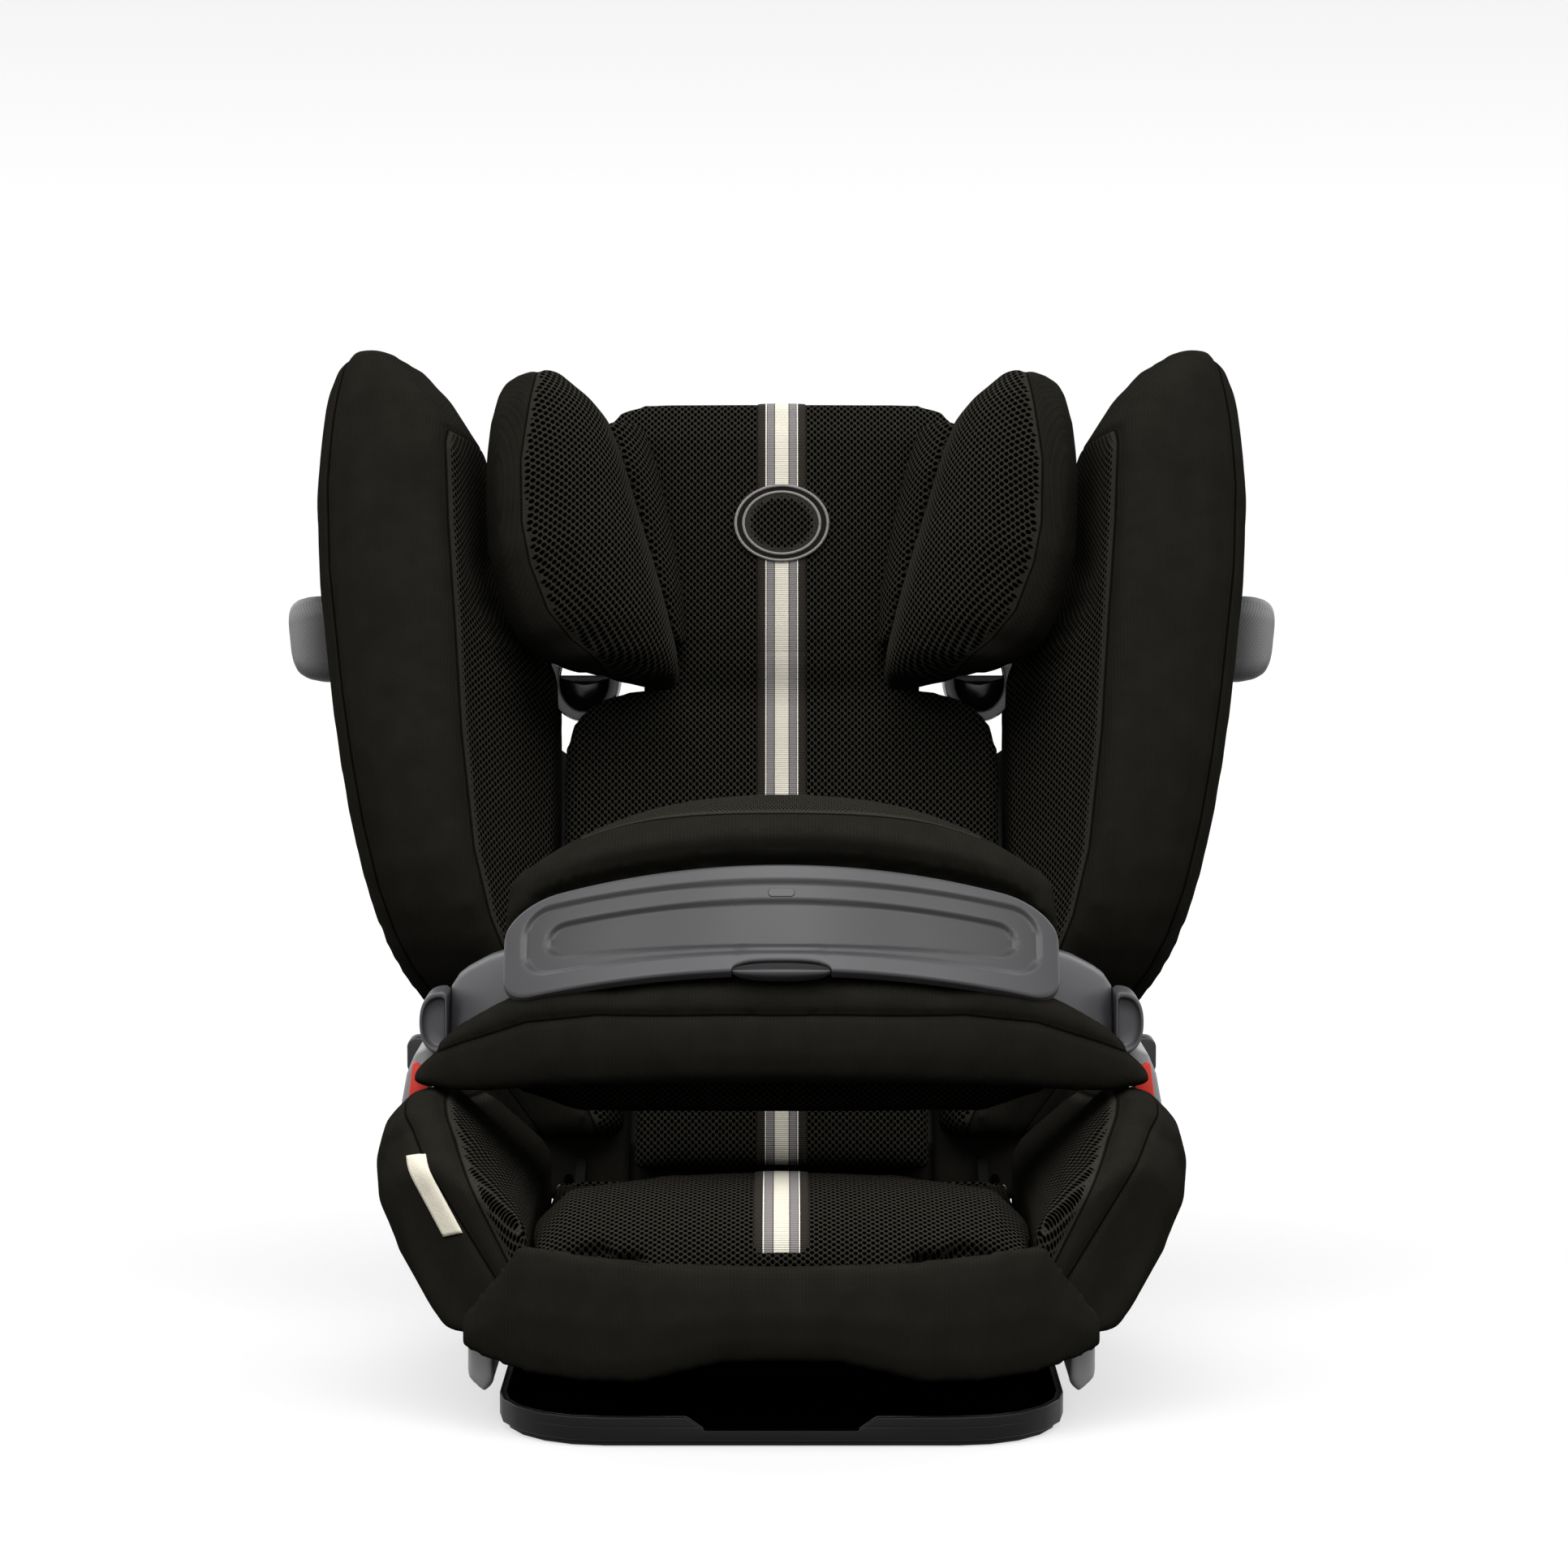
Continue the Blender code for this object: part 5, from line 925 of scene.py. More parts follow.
def make_tag():
    """The bare cloth tag on the left bolster."""
    tree = tree_of(PADS["side_bolster_left"])
    a, b, c, d = (np.array(corner) for corner in TAG_CORNERS)
    grid = np.empty((TAG_ROWS, TAG_COLUMNS, 3))
    for row, along in enumerate(np.linspace(0.0, 1.0, TAG_ROWS)):
        for column, across in enumerate(np.linspace(0.0, 1.0, TAG_COLUMNS)):
            spot = (1 - along) * ((1 - across) * a + across * b) + along * ((1 - across) * c + across * d)
            grid[row, column] = tree.ray_cast(Vector(spot) - TAG_RAY * TAG_INWARDS, TAG_INWARDS)[0]
    across = np.linspace(0.0, np.linalg.norm(b - a), TAG_COLUMNS)
    along = np.linspace(0.0, np.linalg.norm(c - a), TAG_ROWS)[:, None]
    tag = slab("bolster_tag", grid, TAG_LIFT, TAG_SINK, TAG_CLOTH, across, along)
    settle(tag, "black_fabric", "seat")


BRIDGE_HALF, BRIDGE_THICK = 0.084, 0.0030
BRIDGE_ROWS, BRIDGE_PITCH, BRIDGE_COLUMNS = (0.264, 0.318), 0.0027, 49
NECK_STRIPE = (BRIDGE_ROWS[0] + 0.002, BRIDGE_ROWS[1] - 0.003)
BRIDGE_LOW, BRIDGE_HIGH, BRIDGE_PROUD, BRIDGE_SMOOTHINGS = 0.280, 0.303, 0.0004, 4
# How deep the cover's ends and sides are tucked in, and over what length
END_TUCK, SIDE_TUCK, TUCK_LENGTH, END_REACH = 0.0022, 0.004, 0.010, 0.016


def make_bridge():
    """The mesh cover between the back panel and the headrest, with its stripe."""
    panel, head = tree_of(PADS["back_panel"]), tree_of(PADS["headrest_centre_pad"])

    def depth_at(tree, x, height):
        """The depth of a pad's front at a spot, or at the nearest spot towards the middle where it has one."""
        for share in np.linspace(1.0, 0.0, 21):
            start = world(share * x, RAY_START, height)
            place = tree.ray_cast(start, INTO_BACK)[0]
            if place is not None:
                return (place - start).length + RAY_START

    rows = np.arange(*BRIDGE_ROWS, BRIDGE_PITCH)
    columns = np.linspace(-BRIDGE_HALF, BRIDGE_HALF, BRIDGE_COLUMNS)
    depths = np.empty((len(rows), len(columns)))
    for r, height in enumerate(rows):
        share = smooth_step((height - BRIDGE_LOW) / (BRIDGE_HIGH - BRIDGE_LOW))
        end = END_TUCK * smooth_step((abs(height - sum(BRIDGE_ROWS) / 2) - END_REACH) / TUCK_LENGTH)
        for c, x in enumerate(columns):
            low, high = depth_at(panel, x, min(height, BRIDGE_LOW)), depth_at(head, x, max(height, BRIDGE_HIGH))
            tuck = end + SIDE_TUCK * smooth_step((abs(x) - BRIDGE_HALF + TUCK_LENGTH) / TUCK_LENGTH)
            depths[r, c] = low + (high - low) * share + tuck - BRIDGE_PROUD
    for _ in range(BRIDGE_SMOOTHINGS):
        depths[1:-1] = 0.5 * depths[1:-1] + 0.25 * (depths[2:] + depths[:-2])
    grid = np.array([[world(x, depth, height) for x, depth in zip(columns, line)]
                     for height, line in zip(rows, depths)])
    cover = slab("neck_cover", grid, 0.0, BRIDGE_THICK, FABRIC, columns, rows[:, None], FAR)
    band = stripe("neck_stripe", cover, front_rays(*NECK_STRIPE))
    for piece in (cover, band):
        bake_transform(piece)


SKIRT_HEIGHTS, SKIRT_INNER, SKIRT_DEPTH = (-0.022, 0.072), 0.0925, -0.021
SKIRT_OUTER, SKIRT_FLARE, SKIRT_SAG, SKIRT_HALF_THICK = 0.152, 0.55, 0.003, 0.0015
MIDDLE_SKIRT_TOP, MIDDLE_SKIRT_DEPTH = 0.012, -0.016
SKIRT_GRID, MIDDLE_SKIRT_GRID = (19, 15), (9, 31)


def skirt(side, grid):
    made = slab(f"backrest_skirt_{side}", grid, SKIRT_HALF_THICK, SKIRT_HALF_THICK, FABRIC, np.abs(grid[:, :, 0]),
                grid[:, :, 2], -FAR)
    settle(made, "black_fabric", "backrest")


def make_skirts():
    """The cloth that closes the backrest's lower corners, behind the bolsters, and the slit below its middle."""
    for side, sign in SIDES:
        grid = np.empty((*SKIRT_GRID, 3))
        for r, height in enumerate(np.linspace(*SKIRT_HEIGHTS, SKIRT_GRID[0])):
            outer = SKIRT_OUTER + SKIRT_FLARE * (height - SKIRT_HEIGHTS[0])
            for c, share in enumerate(np.linspace(0.0, 1.0, SKIRT_GRID[1])):
                x = SKIRT_INNER + (outer - SKIRT_INNER) * share
                grid[r, c] = world(sign * x, SKIRT_DEPTH - SKIRT_SAG * math.sin(math.pi * share), height)
        skirt(side, grid if sign > 0.0 else grid[:, ::-1])
    heights = np.linspace(SKIRT_HEIGHTS[0], MIDDLE_SKIRT_TOP, MIDDLE_SKIRT_GRID[0])
    places = np.linspace(-SKIRT_INNER, SKIRT_INNER, MIDDLE_SKIRT_GRID[1])
    skirt("middle", np.array([[world(x, MIDDLE_SKIRT_DEPTH, height) for x in places] for height in heights]))


make_stripes()
make_patch()
make_tag()
make_bridge()
make_skirts()


# Moulded pieces

MOULDED = {
    "base_sole": (RUBBER, 0.0006), "base_tray": (BASE_PLASTIC, 0.0009),
    "booster_shell": (BLACK_SHADE_PLASTIC, 0.0008), "recline_handle": (BLACK_SHADE_PLASTIC, 0.0012),
    "backrest_axle": (PAINTED_STEEL, 0.0006), "back_plate": (BLACK_PLASTIC, 0.0008),
    "pivot_barrel": (PAINTED_STEEL, 0.0005), "height_rack": (DARK_PLASTIC, 0.0005),
    "headrest_carriage": (DARK_PLASTIC, 0.0006), "panel_bracket": (DARK_PLASTIC, 0.0006),
    "tilt_axle": (STEEL, 0.0004), "height_lever": (RED_PLASTIC, 0.0014),
    "headrest_shell": (BLACK_PLASTIC, 0.0008), "tilt_barrel": (BLACK_PLASTIC, 0.0004),
}
MOULDED_SIDES = {
    "recline_rail": (BLACK_SHADE_PLASTIC, 0.0006), "connector_guide": (BLACK_PLASTIC, 0.0006),
    "connector_arm": (STEEL, 0.0008), "connector_button": (RED_PLASTIC, 0.0008),
    "recline_runner": (BLACK_SHADE_PLASTIC, 0.0006),
    "belt_guide": (LIGHT_PLASTIC, 0.0018), "belt_guide_insert": (RED_PLASTIC, 0.0006),
    "belt_stop": (BLACK_PLASTIC, 0.0012), "wing_shell": (BLACK_PLASTIC, 0.0008),
    "shield_rod": (STEEL, 0.0005),
}


BEVEL_SEGMENTS, BEVEL_ANGLE, SHARP_ANGLE = 3, 28.0, 35.0


def mould(node, material, radius):
    """The CAD solid with its edges rounded, as a moulding tool leaves them."""
    obj = mesh_object(f"{node}_moulding", *solid_of(node), material)
    bevel = obj.modifiers.new("bevel", "BEVEL")
    bevel.width, bevel.segments = radius, BEVEL_SEGMENTS
    bevel.limit_method, bevel.angle_limit = "ANGLE", math.radians(BEVEL_ANGLE)
    baked(obj)
    obj.data.shade_smooth()
    obj.data.set_sharp_from_angle(angle=math.radians(SHARP_ANGLE))
    return settle(obj, SLOT_OF[node], BODY_OF[node], node)


TRAY_FLOOR, TRAY_RIM, LEVEL_FACE, SLOPED_FACE = 0.012, 0.016, 0.5, 0.7


def shade_tray_hollow(obj):
    """Paints the tray's floor and inner walls near black, as painted shade in its hollow."""
    obj.data.materials.append(BLACK_SHADE_PLASTIC)
    for face in obj.data.polygons:
        centre, normal = face.center, face.normal
        level = normal.z > LEVEL_FACE and centre.z < TRAY_FLOOR
        inwards = normal.xy.dot(centre.xy) < 0.0 and abs(normal.z) < SLOPED_FACE and centre.z < TRAY_RIM
        face.material_index = int(level or inwards)


for node, options in MOULDED.items():
    moulding = mould(node, *options)
    # The tray's hollow gets painted shade
    if node == "base_tray":
        shade_tray_hollow(moulding)
for node, options in MOULDED_SIDES.items():
    for side, _ in SIDES:
        mould(f"{node}_{side}", *options)


def rounded(node, name, material, voxel, times):
    """The CAD solid worn round all over, with its outward place written for its material."""
    obj = remeshed(name, solid_of(node), material, voxel)
    relax(obj, times)
    x, y, z = points_of(obj).T
    set_cloth(obj, np.abs(x) + y, z, np.abs(x))
    settle(obj, SLOT_OF[node], BODY_OF[node], node)


for side, _ in SIDES:
    rounded(f"side_protector_{side}", f"side_protector_{side}_pod", DOTTED, 0.0017, 30)
    rounded(f"booster_trim_{side}", f"booster_trim_{side}_moulding", TRIM_PLASTIC, 0.0025, 40)


# The impact shield's grey mouldings

PANEL_HALF, PANEL_THICK = 0.1535, 0.007
PANEL_LOW, PANEL_LOW_ENDS = np.array((-0.190, 0.256)), np.array((-0.130, 0.2295))
PANEL_HIGH, PANEL_HIGH_ENDS = np.array((-0.150, 0.3086)), np.array((-0.100, 0.278))
LOW_CORNER, HIGH_CORNER = (0.017, 0.0145), (0.032, 0.0195)
PANEL_ROUND = 0.0016
DISH_DEPTH, DISH_SLOPE = 0.0022, 0.0030
# Half width and corner of the outer and the inner dish, and how their edges run in from the panel's
OUTER_DISH, INNER_DISH = (0.1430, 0.0160), (0.1295, 0.0120)
OUTER_LOW, OUTER_HIGH, INNER_LOW, INNER_HIGH = (0.0100, 0.0010), (0.0090, 0.0028), (0.0052, 0.0042), 0.0112
DISH_SPREAD = 0.12
NOTCH_HALF, NOTCH_HIGH = 0.0268, 0.0058
LEVER_HALF, LEVER_UP, LEVER_PROUD = 0.0262, 0.0002, 0.0042


def panel_frame(x):
    """The shield's front at x: its low edge, the way up, the way back, and its height."""
    share = (x / PANEL_HALF) ** 2
    low = PANEL_LOW + (PANEL_LOW_ENDS - PANEL_LOW) * share
    high = PANEL_HIGH + (PANEL_HIGH_ENDS - PANEL_HIGH) * share
    height = np.linalg.norm(high - low)
    up = (high - low) / height
    return low, up, np.array((up[1], -up[0])), height


def panel_point(x, along, behind):
    low, up, back, _ = panel_frame(x)
    return np.array((x, *(low + up * along + back * behind)))


def panel_edges(x):
    """The panel's lower and upper edges along the front, with its corners rounded and the lever's notch left open."""
    inside = max(0.0, PANEL_HALF - abs(x))
    low, high = (rise * (1.0 - math.sqrt(1.0 - max(0.0, 1.0 - inside / reach) ** 2))
                 for reach, rise in (LOW_CORNER, HIGH_CORNER))
    if abs(x) < NOTCH_HALF:
        low = NOTCH_HIGH * math.sqrt(1.0 - (x / NOTCH_HALF) ** 4)
    return low, panel_frame(x)[3] - high


def inside_slot(x, along, low, high, half, radius):
    """How far inside a rounded slot a point is."""
    middle, reach = 0.5 * (low + high), 0.5 * (high - low)
    radius = min(radius, reach)
    dx, dy = abs(x) - half + radius, np.abs(along - middle) - reach + radius
    outside = np.hypot(np.maximum(dx, 0.0), np.maximum(dy, 0.0)) + np.minimum(np.maximum(dx, dy), 0.0)
    return radius - outside


def panel_relief(x, along):
    """How far the front is dished at a point: a shallow field with a deeper one inside it."""
    height = panel_frame(x)[3]
    out = (x / DISH_SPREAD) ** 2
    low, high = OUTER_LOW[0] + OUTER_LOW[1] * out, height - OUTER_HIGH[0] + OUTER_HIGH[1] * out
    outer = inside_slot(x, along, low, high, *OUTER_DISH)
    inner = inside_slot(x, along, low + INNER_LOW[0] + INNER_LOW[1] * out, high - INNER_HIGH, *INNER_DISH)
    return DISH_DEPTH * (smooth_step(outer / DISH_SLOPE) + smooth_step(inner / DISH_SLOPE))


# Painted shade and highlight on the panel: the shadow under a dish's upper edge, the highlight over its lower edge,
# the shadow at its ends and the shade in its field
PAINTED_SHADOW, PAINTED_HIGHLIGHT, PAINTED_END_SHADOW, PAINTED_DISH_SHADE = 0.42, 0.20, 0.6, 0.52


def panel_painted_shade(x, along, reach=0.0004):
    """Painted shade and highlight: darker in a dish, under its upper edge and at its ends, and lighter on the wall
    over its lower edge, as light from above would fall.
    """
    steep = 1.5 * DISH_DEPTH / DISH_SLOPE * 2.0 * reach
    out = math.copysign(reach, x)
    rise = (panel_relief(x, along + reach) - panel_relief(x, along - reach)) / steep
    fall = (panel_relief(x - out, along) - panel_relief(x + out, along)) / steep
    shadow = np.clip(-rise, 0.0, 1.0) + PAINTED_END_SHADOW * np.clip(fall, 0.0, 1.0)
    field = PAINTED_DISH_SHADE * panel_relief(x, along) / (2.0 * DISH_DEPTH)
    return 1.0 - field - PAINTED_SHADOW * np.minimum(shadow, 1.0) + PAINTED_HIGHLIGHT * np.clip(rise, 0.0, 1.0)


def ring_mesh(name, rings, material, painted_shade=None):
    """A closed skin through rings of the same number of points, with a share of painted shade and highlight in its
    plastic's tone for each.
    """
    count, size = len(rings), len(rings[0])
    ends = [tuple(range(size))[::-1], tuple(range((count - 1) * size, count * size))]
    obj = mesh_object(name, [p for ring in rings for p in ring], ring_faces(count, size) + ends, material)
    if painted_shade is not None:
        set_float(obj, "painted_shade", np.ravel(painted_shade))
    return obj


def finish_moulding(obj, slot, body, *nodes, angle=40.0):
    bm = bmesh.new()
    bm.from_mesh(obj.data)
    bmesh.ops.recalc_face_normals(bm, faces=bm.faces)
    bm.to_mesh(obj.data)
    bm.free()
    obj.data.shade_smooth()
    obj.data.set_sharp_from_angle(angle=math.radians(angle))
    settle(obj, slot, body, *nodes)


def panel_ring(x, count=56):
    low, high = panel_edges(x)
    end = PANEL_HALF - abs(x)
    back_off = PANEL_ROUND - math.sqrt(max(0.0, PANEL_ROUND ** 2 - max(0.0, PANEL_ROUND - end) ** 2))
    along = np.linspace(low + PANEL_ROUND, high - PANEL_ROUND, count)
    front = [(s, back_off + d) for s, d in zip(along, panel_relief(x, along))]
    turns = np.radians((0.0, 30.0, 60.0))
    curve = [(PANEL_ROUND * (1 - math.cos(t)), back_off + PANEL_ROUND * (1 - math.sin(t))) for t in turns]
    foot = [(low + rise, behind) for rise, behind in curve]
    head = [(high - rise, behind) for rise, behind in curve[::-1]]
    section = [(low, PANEL_THICK), *foot, *front, *head, (high, PANEL_THICK)]
    edge = [1.0] * (1 + len(turns))
    # The front's share of tone is the dishes' painted shade and highlight; the edges keep their full tone
    return [panel_point(x, s, min(d, PANEL_THICK)) for s, d in section], [*edge, *panel_painted_shade(x, along), *edge]


def make_panel():
    """The shield's front panel, with its two dished fields and the notch for the lever."""
    ends = PANEL_HALF * np.sin(np.linspace(-math.pi / 2, math.pi / 2, 121))
    notch = [side * (NOTCH_HALF + step) for side in (-1, 1) for step in (-0.0012, -0.0004, -0.0001, 0.0001)]
    rings, painted_shades = zip(*(panel_ring(x) for x in sorted([*ends, *notch])))
    obj = ring_mesh("shield_panel_moulding", rings, PANEL_PLASTIC, painted_shades)
    finish_moulding(obj, "grey_plastic", "shield", "shield_panel")


# Each point of the lever's section: up along the panel, back from its front, and its share of the plastic's tone,
# which is painted shade in the scoop and below the lip and painted highlight on the lip
LEVER_SECTION = ((0.0050, 0.0058, 0.3), (0.0050, 0.0016, 0.3), (0.0044, 0.0010, 0.3), (0.0036, 0.0016, 0.3),
                 (0.0022, 0.0026, 0.4), (0.0006, 0.0018, 0.55), (-0.0006, -0.0008, 0.8), (-0.0016, -0.0030, 1.0),
                 (-0.0024, -0.0040, 1.1), (-0.0034, -0.0042, 1.1), (-0.0044, -0.0034, 1.0), (-0.0050, -0.0016, 0.7),
                 (-0.0050, 0.0020, 0.4), (-0.0042, 0.0056, 0.4))


def make_lever():
    """The release lever: an eye-shaped tab with a finger scoop over a rounded lip."""
    rings = []
    for x in LEVER_HALF * np.sin(np.linspace(-math.pi / 2, math.pi / 2, 41)):
        w = math.sqrt(max(0.0, 1.0 - (x / LEVER_HALF) ** 2)) ** 0.8
        rings.append([panel_point(x, LEVER_UP + s * (0.04 + 0.96 * w), max(b * (0.1 + 0.9 * w), -LEVER_PROUD))
                      for s, b, _ in LEVER_SECTION])
    # Painted shade in the scoop and painted highlight on the lip, along every ring
    painted_shade = [share for _, _, share in LEVER_SECTION] * len(rings)
    obj = ring_mesh("shield_lever_moulding", rings, PANEL_PLASTIC, painted_shade)
    finish_moulding(obj, "dark_grey_plastic", "shield_lever", "shield_lever", angle=60.0)


TAB_HALF, TAB_ALONG, TAB_PROUD = (0.0072, 0.0027), 0.0492, 0.0005
TAB_CORNER = 0.85 * TAB_HALF[1]
# Each ring of the tab: how far inside its outline, how far proud of the panel, and its share of the plastic's tone,
# which is painted shade at its outline where it meets the panel
TAB_RINGS = ((0.0, -0.0012, 0.3), (0.0, 0.0002, 0.3), (0.0003, TAB_PROUD, 0.9), (0.0010, TAB_PROUD, 1.0),
             (0.0019, TAB_PROUD, 1.0))


def make_tab():
    """The small blank cover at the top of the panel."""
    turns = full_turn(48)

    def spot(turn, inset, proud):
        x, s = (math.copysign(half - TAB_CORNER, way) + (TAB_CORNER - inset) * way
                for half, way in zip(TAB_HALF, (math.cos(turn), math.sin(turn))))
        return panel_point(x, TAB_ALONG + s, panel_relief(x, np.array([TAB_ALONG + s]))[0] - proud)

    rings = [[spot(turn, inset, proud) for turn in turns] for inset, proud, _ in TAB_RINGS]
    # Painted shade round the tab's outline
    painted_shade = np.repeat([share for _, _, share in TAB_RINGS], len(turns))
    finish_moulding(ring_mesh("shield_panel_tab", rings, PANEL_PLASTIC, painted_shade), "grey_plastic", "shield")


ARM_ENDS = (0.1380, 0.1868)
ARM_LOW_EDGE = [(0.1380, 0.2345), (0.1480, 0.2285), (0.1565, 0.2228), (0.1720, 0.2106), (0.1868, 0.1965)]
ARM_HIGH_EDGE = [(0.1380, 0.2605), (0.1530, 0.2548), (0.1620, 0.2508), (0.1690, 0.2465), (0.1760, 0.2420),
                 (0.1820, 0.2370), (0.1868, 0.2295)]
ARM_FRONT = [(0.1380, -0.1290), (0.1500, -0.1172), (0.1680, -0.0970), (0.1868, -0.0760)]
ARM_BACK_SLANT, ARM_THICK, ARM_BOW, ARM_ROUND, ARM_CURL = 0.0135, 0.0065, 0.0022, 0.0026, 0.0018


def arm_ring(x):
    """The strap's section at x: its face bows a little, and its edges are round."""
    low, high, front = (table(x, values) for values in (ARM_LOW_EDGE, ARM_HIGH_EDGE, ARM_FRONT))
    section = []
    for share in np.linspace(0.0, 1.0, 22):
        edge = min(share, 1.0 - share) * (high - low)
        curl = ARM_CURL * (1.0 - math.sqrt(1.0 - max(0.0, 1.0 - edge / ARM_ROUND) ** 2))
        bow = -ARM_BOW * (1.0 - (2.0 * share - 1.0) ** 2)
        section.append((front + ARM_BACK_SLANT * share + bow + curl, low + (high - low) * share))
    rear = [(y + ARM_THICK, z) for y, z in section[::-1]]
    return [(x, y, z) for y, z in section + rear]


RAIL_SECTION = ((0.008, 0.0076), (0.026, 0.0076), (0.026, 0.0166), (0.008, 0.0166))


def make_band():
    """The two straps that leave the panel, and the rail behind it that joins them."""
    places = np.linspace(-ARM_ENDS[0], ARM_ENDS[0], 41)
    rail = [[panel_point(x, s, b) for s, b in RAIL_SECTION] for x in places]
    finish_moulding(ring_mesh("shield_rail_moulding", rail, GREY_PLASTIC), "grey_plastic", "shield", "shield_band")
    for side, sign in SIDES:
        rings = [[(sign * x, y, z) for x, y, z in arm_ring(x)] for x in np.linspace(*ARM_ENDS, 34)]
        obj = ring_mesh(f"shield_strap_{side}", rings, GREY_PLASTIC)
        finish_moulding(obj, "grey_plastic", "shield", angle=50.0)


CAP_INNER, CAP_OUTER, CAP_LOW, CAP_HIGH = 0.1876, 0.2035, 0.1935, 0.2295
CAP_FRONT, CAP_REAR, CAP_STEP, CAP_STRAIGHT, CAP_BULGE = -0.0850, -0.0600, 0.002, 0.92, (0.75, 0.9)
CAP_CENTRE = np.array((CAP_INNER + 0.0070, 0.5 * (CAP_LOW + CAP_HIGH)))
# Each ring of a cap, from its rear over its rim into its dish: its scale and its depth
CAP_RINGS = ((1.0, CAP_REAR), (1.0, CAP_FRONT + 0.0022), (0.985, CAP_FRONT + 0.0010), (0.955, CAP_FRONT + 0.0002),
             (0.92, CAP_FRONT), (0.84, CAP_FRONT), (0.815, CAP_FRONT + 0.0004), (0.79, CAP_FRONT + 0.0014),
             (0.74, CAP_FRONT + 0.0036), (0.68, CAP_FRONT + 0.0044), (0.30, CAP_FRONT + 0.0046))


def scaled_rings(sign, outline, middle, rings):
    """Copies of an outline of x and z, drawn towards its middle by each ring's scale and set at its depth."""
    return [[(sign * x, y, z) for x, z in middle + (np.array(outline) - middle) * scale] for scale, y in rings]


def make_caps():
    """The cups at the ends of the straps: a D, straight beside the strap, with a dished face inside its rim."""
    reach, half, level = CAP_OUTER - CAP_INNER - CAP_STEP, 0.5 * (CAP_HIGH - CAP_LOW), CAP_CENTRE[1]
    outline = []
    for turn in np.radians(np.linspace(-90.0, 90.0, 41)):
        c, s = math.cos(turn), math.sin(turn)
        rise = half * math.copysign(abs(s) ** CAP_BULGE[1], s)
        outline.append((CAP_INNER + CAP_STEP + reach * abs(c) ** CAP_BULGE[0], level + rise))
    outline += [(CAP_INNER, level + half * share) for share in np.linspace(CAP_STRAIGHT, -CAP_STRAIGHT, 15)]
    for side, sign in SIDES:
        rings = scaled_rings(sign, outline, CAP_CENTRE, CAP_RINGS)
        obj = ring_mesh(f"shield_cap_{side}_moulding", rings, GREY_PLASTIC)
        finish_moulding(obj, "grey_plastic", "shield", f"shield_cap_{side}", angle=55.0)


GUIDE_MIDDLE, GUIDE_REACH = (0.1215, 0.3905), (0.0215, 0.0250)
# Each point of the channel's section: its depth, and how far outside the guide's curve it is
GUIDE_SECTION = ((0.1395, 0.0), (0.1393, -0.0045), (0.1400, -0.0062), (0.1415, -0.0062), (0.1430, -0.0042),
                 (0.1460, -0.0030), (0.1560, -0.0030), (0.1600, -0.0042), (0.1615, -0.0062), (0.1632, -0.0062),
                 (0.1640, -0.0045), (0.1640, 0.0), (0.1600, 0.0010), (0.1440, 0.0010))
WEB_INSET, WEB_DROP = 0.002, 0.004
WEB_RINGS = ((1.0, 0.1592), (0.98, 0.1560), (0.90, 0.1556), (0.75, 0.1540), (0.55, 0.1515), (0.35, 0.1500),
             (0.15, 0.1494))


def guide_spot(turn, out):
    """A place on a belt guide's curve, or some way outside it."""
    x, z = (middle + (reach + out) * way
            for middle, reach, way in zip(GUIDE_MIDDLE, GUIDE_REACH, (math.cos(turn), math.sin(turn))))
    return x, z


def make_belt_guides():
    """The shoulder belt's guides: a lipped channel bent into a U, with a bowed web that closes its lower half."""
    web = [guide_spot(turn, -WEB_INSET) for turn in np.radians(np.linspace(175.0, 365.0, 41))]
    web += [(x, web[-1][1]) for x in np.linspace(web[-1][0], web[0][0], 14)[1:-1]]
    centre = np.array((GUIDE_MIDDLE[0], GUIDE_MIDDLE[1] - WEB_DROP))
    for side, sign in SIDES:
        rings = []
        for turn in np.radians(np.linspace(160.0, 385.0, 61)):
            spots = [(depth, *guide_spot(turn, out)) for depth, out in GUIDE_SECTION]
            rings.append([(sign * x, depth, z) for depth, x, z in spots])
        node = f"shoulder_belt_guide_{side}"
        obj = ring_mesh(f"{node}_moulding", rings, GLOSS_PLASTIC)
        finish_moulding(obj, "black_plastic", BODY_OF[node], node, angle=50.0)
        obj = ring_mesh(f"{node}_web", scaled_rings(sign, web, centre, WEB_RINGS), GLOSS_PLASTIC)
        finish_moulding(obj, "black_plastic", BODY_OF[node], angle=60.0)


make_belt_guides()
make_panel()
make_lever()
make_tab()
make_band()
make_caps()


# Stage

SUN_SPREAD, SUN_FAR = 45.0, 3.0


def add_to_scene(name, data, place, turn):
    obj = bpy.data.objects.new(name, data)
    obj.location, obj.rotation_euler = place, turn
    SCENE.collection.objects.link(obj)
    return obj


def soft_light(name, azimuth, elevation, strength):
    """A wide, far light. Azimuth 0 is in front of the seat, and 90 on its right."""
    turn, rise = math.radians(azimuth), math.radians(elevation)
    way = Vector((math.sin(turn) * math.cos(rise), -math.cos(turn) * math.cos(rise), math.sin(rise)))
    light = bpy.data.lights.new(name, "SUN")
    light.energy, light.angle = strength, math.radians(SUN_SPREAD)
    add_to_scene(name, light, SUN_FAR * way, (-way).to_track_quat("-Z", "Y").to_euler())


def fill_light(name, place, size, power, tilt):
    """A near light that faces the seat, tilted down from level by a right angle less its tilt."""
    light = bpy.data.lights.new(name, "AREA")
    light.shape, light.size, light.energy = "SQUARE", size, power
    add_to_scene(name, light, place, (math.radians(tilt), 0.0, 0.0)).visible_camera = False


HORIZON, ZENITH, SKY_BLEND = 1.0, 0.30, (0.06, 0.45)


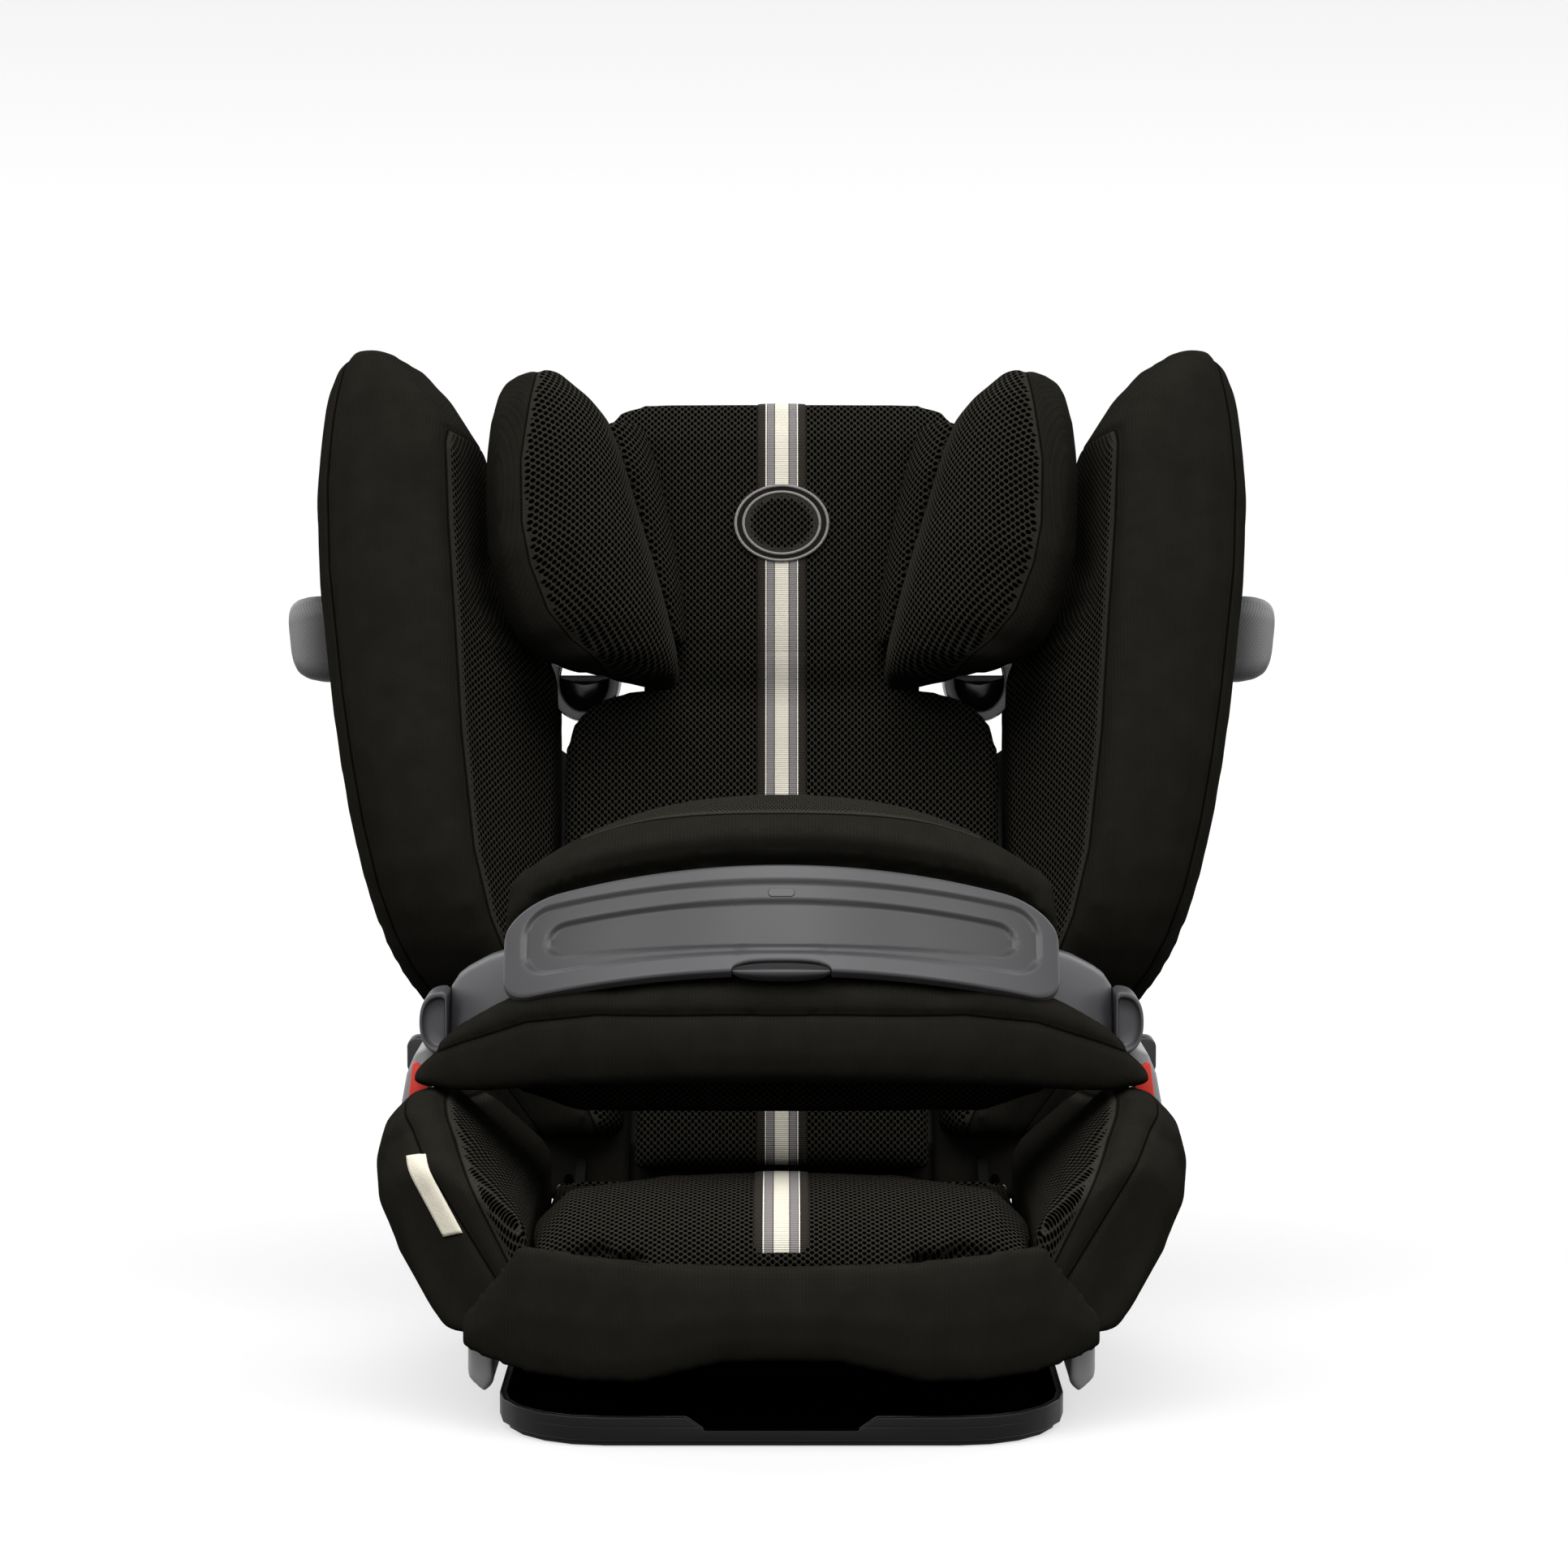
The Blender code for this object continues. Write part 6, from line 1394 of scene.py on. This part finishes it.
def make_sky():
    """A white horizon under a dimmer ceiling, which the view and the gloss show but which lights no surface."""
    sky = bpy.data.worlds.new("studio")
    sky.use_nodes = True
    tree = sky.node_tree
    coordinate, split, ramp = (tree.nodes.new(f"ShaderNode{kind}") for kind in ("TexCoord", "SeparateXYZ", "MapRange"))
    for socket, value in zip(("From Min", "From Max", "To Min", "To Max"), (*SKY_BLEND, HORIZON, ZENITH)):
        ramp.inputs[socket].default_value = value
    background = tree.nodes["Background"]
    background.inputs["Color"].default_value = (1.0, 1.0, 1.0, 1.0)
    tree.links.new(coordinate.outputs["Generated"], split.inputs[0])
    tree.links.new(split.outputs["Z"], ramp.inputs["Value"])
    tree.links.new(ramp.outputs["Result"], background.inputs["Strength"])
    SCENE.world = sky
    sky.cycles_visibility.diffuse = False


FLOOR_HALF, FLOOR_GLOW, FLOOR_TONE, FLOOR_ROUGHNESS = 12.0, 0.56, 0.195, 0.9
CAMERA_PLACE, CAMERA_TURN, CAMERA_LENS, CAMERA_SENSOR = (0.0014, -2.265, 0.537), 85.0, 90.0, 36.0


def make_stage():
    corners = [(x * FLOOR_HALF, y * FLOOR_HALF, 0.0) for x, y in ((-1, -1), (1, -1), (1, 1), (-1, 1))]
    white = Graph("floor", FLOOR_ROUGHNESS, Emission_Color=(1.0, 1.0, 1.0), Emission_Strength=FLOOR_GLOW)
    floor = mesh_object("floor", corners, [(0, 1, 2, 3)], white.finish((FLOOR_TONE,) * 3))
    floor.visible_diffuse = False
    make_sky()
    soft_light("key_light", 0.0, 66.0, 3.1)
    for side, sign in SIDES:
        soft_light(f"side_light_{side}", 60.0 * sign, 38.0, 2.3)
        soft_light(f"rear_light_{side}", 135.0 * sign, 32.0, 1.3)
    fill_light("front_fill", (0.0, -1.15, 0.62), 0.9, 5.0, 66.0)
    camera = bpy.data.cameras.new("camera")
    camera.lens, camera.sensor_width = CAMERA_LENS, CAMERA_SENSOR
    SCENE.camera = add_to_scene("camera", camera, CAMERA_PLACE, (math.radians(CAMERA_TURN), 0.0, 0.0))
    SCENE.view_settings.view_transform = "Standard"


make_stage()
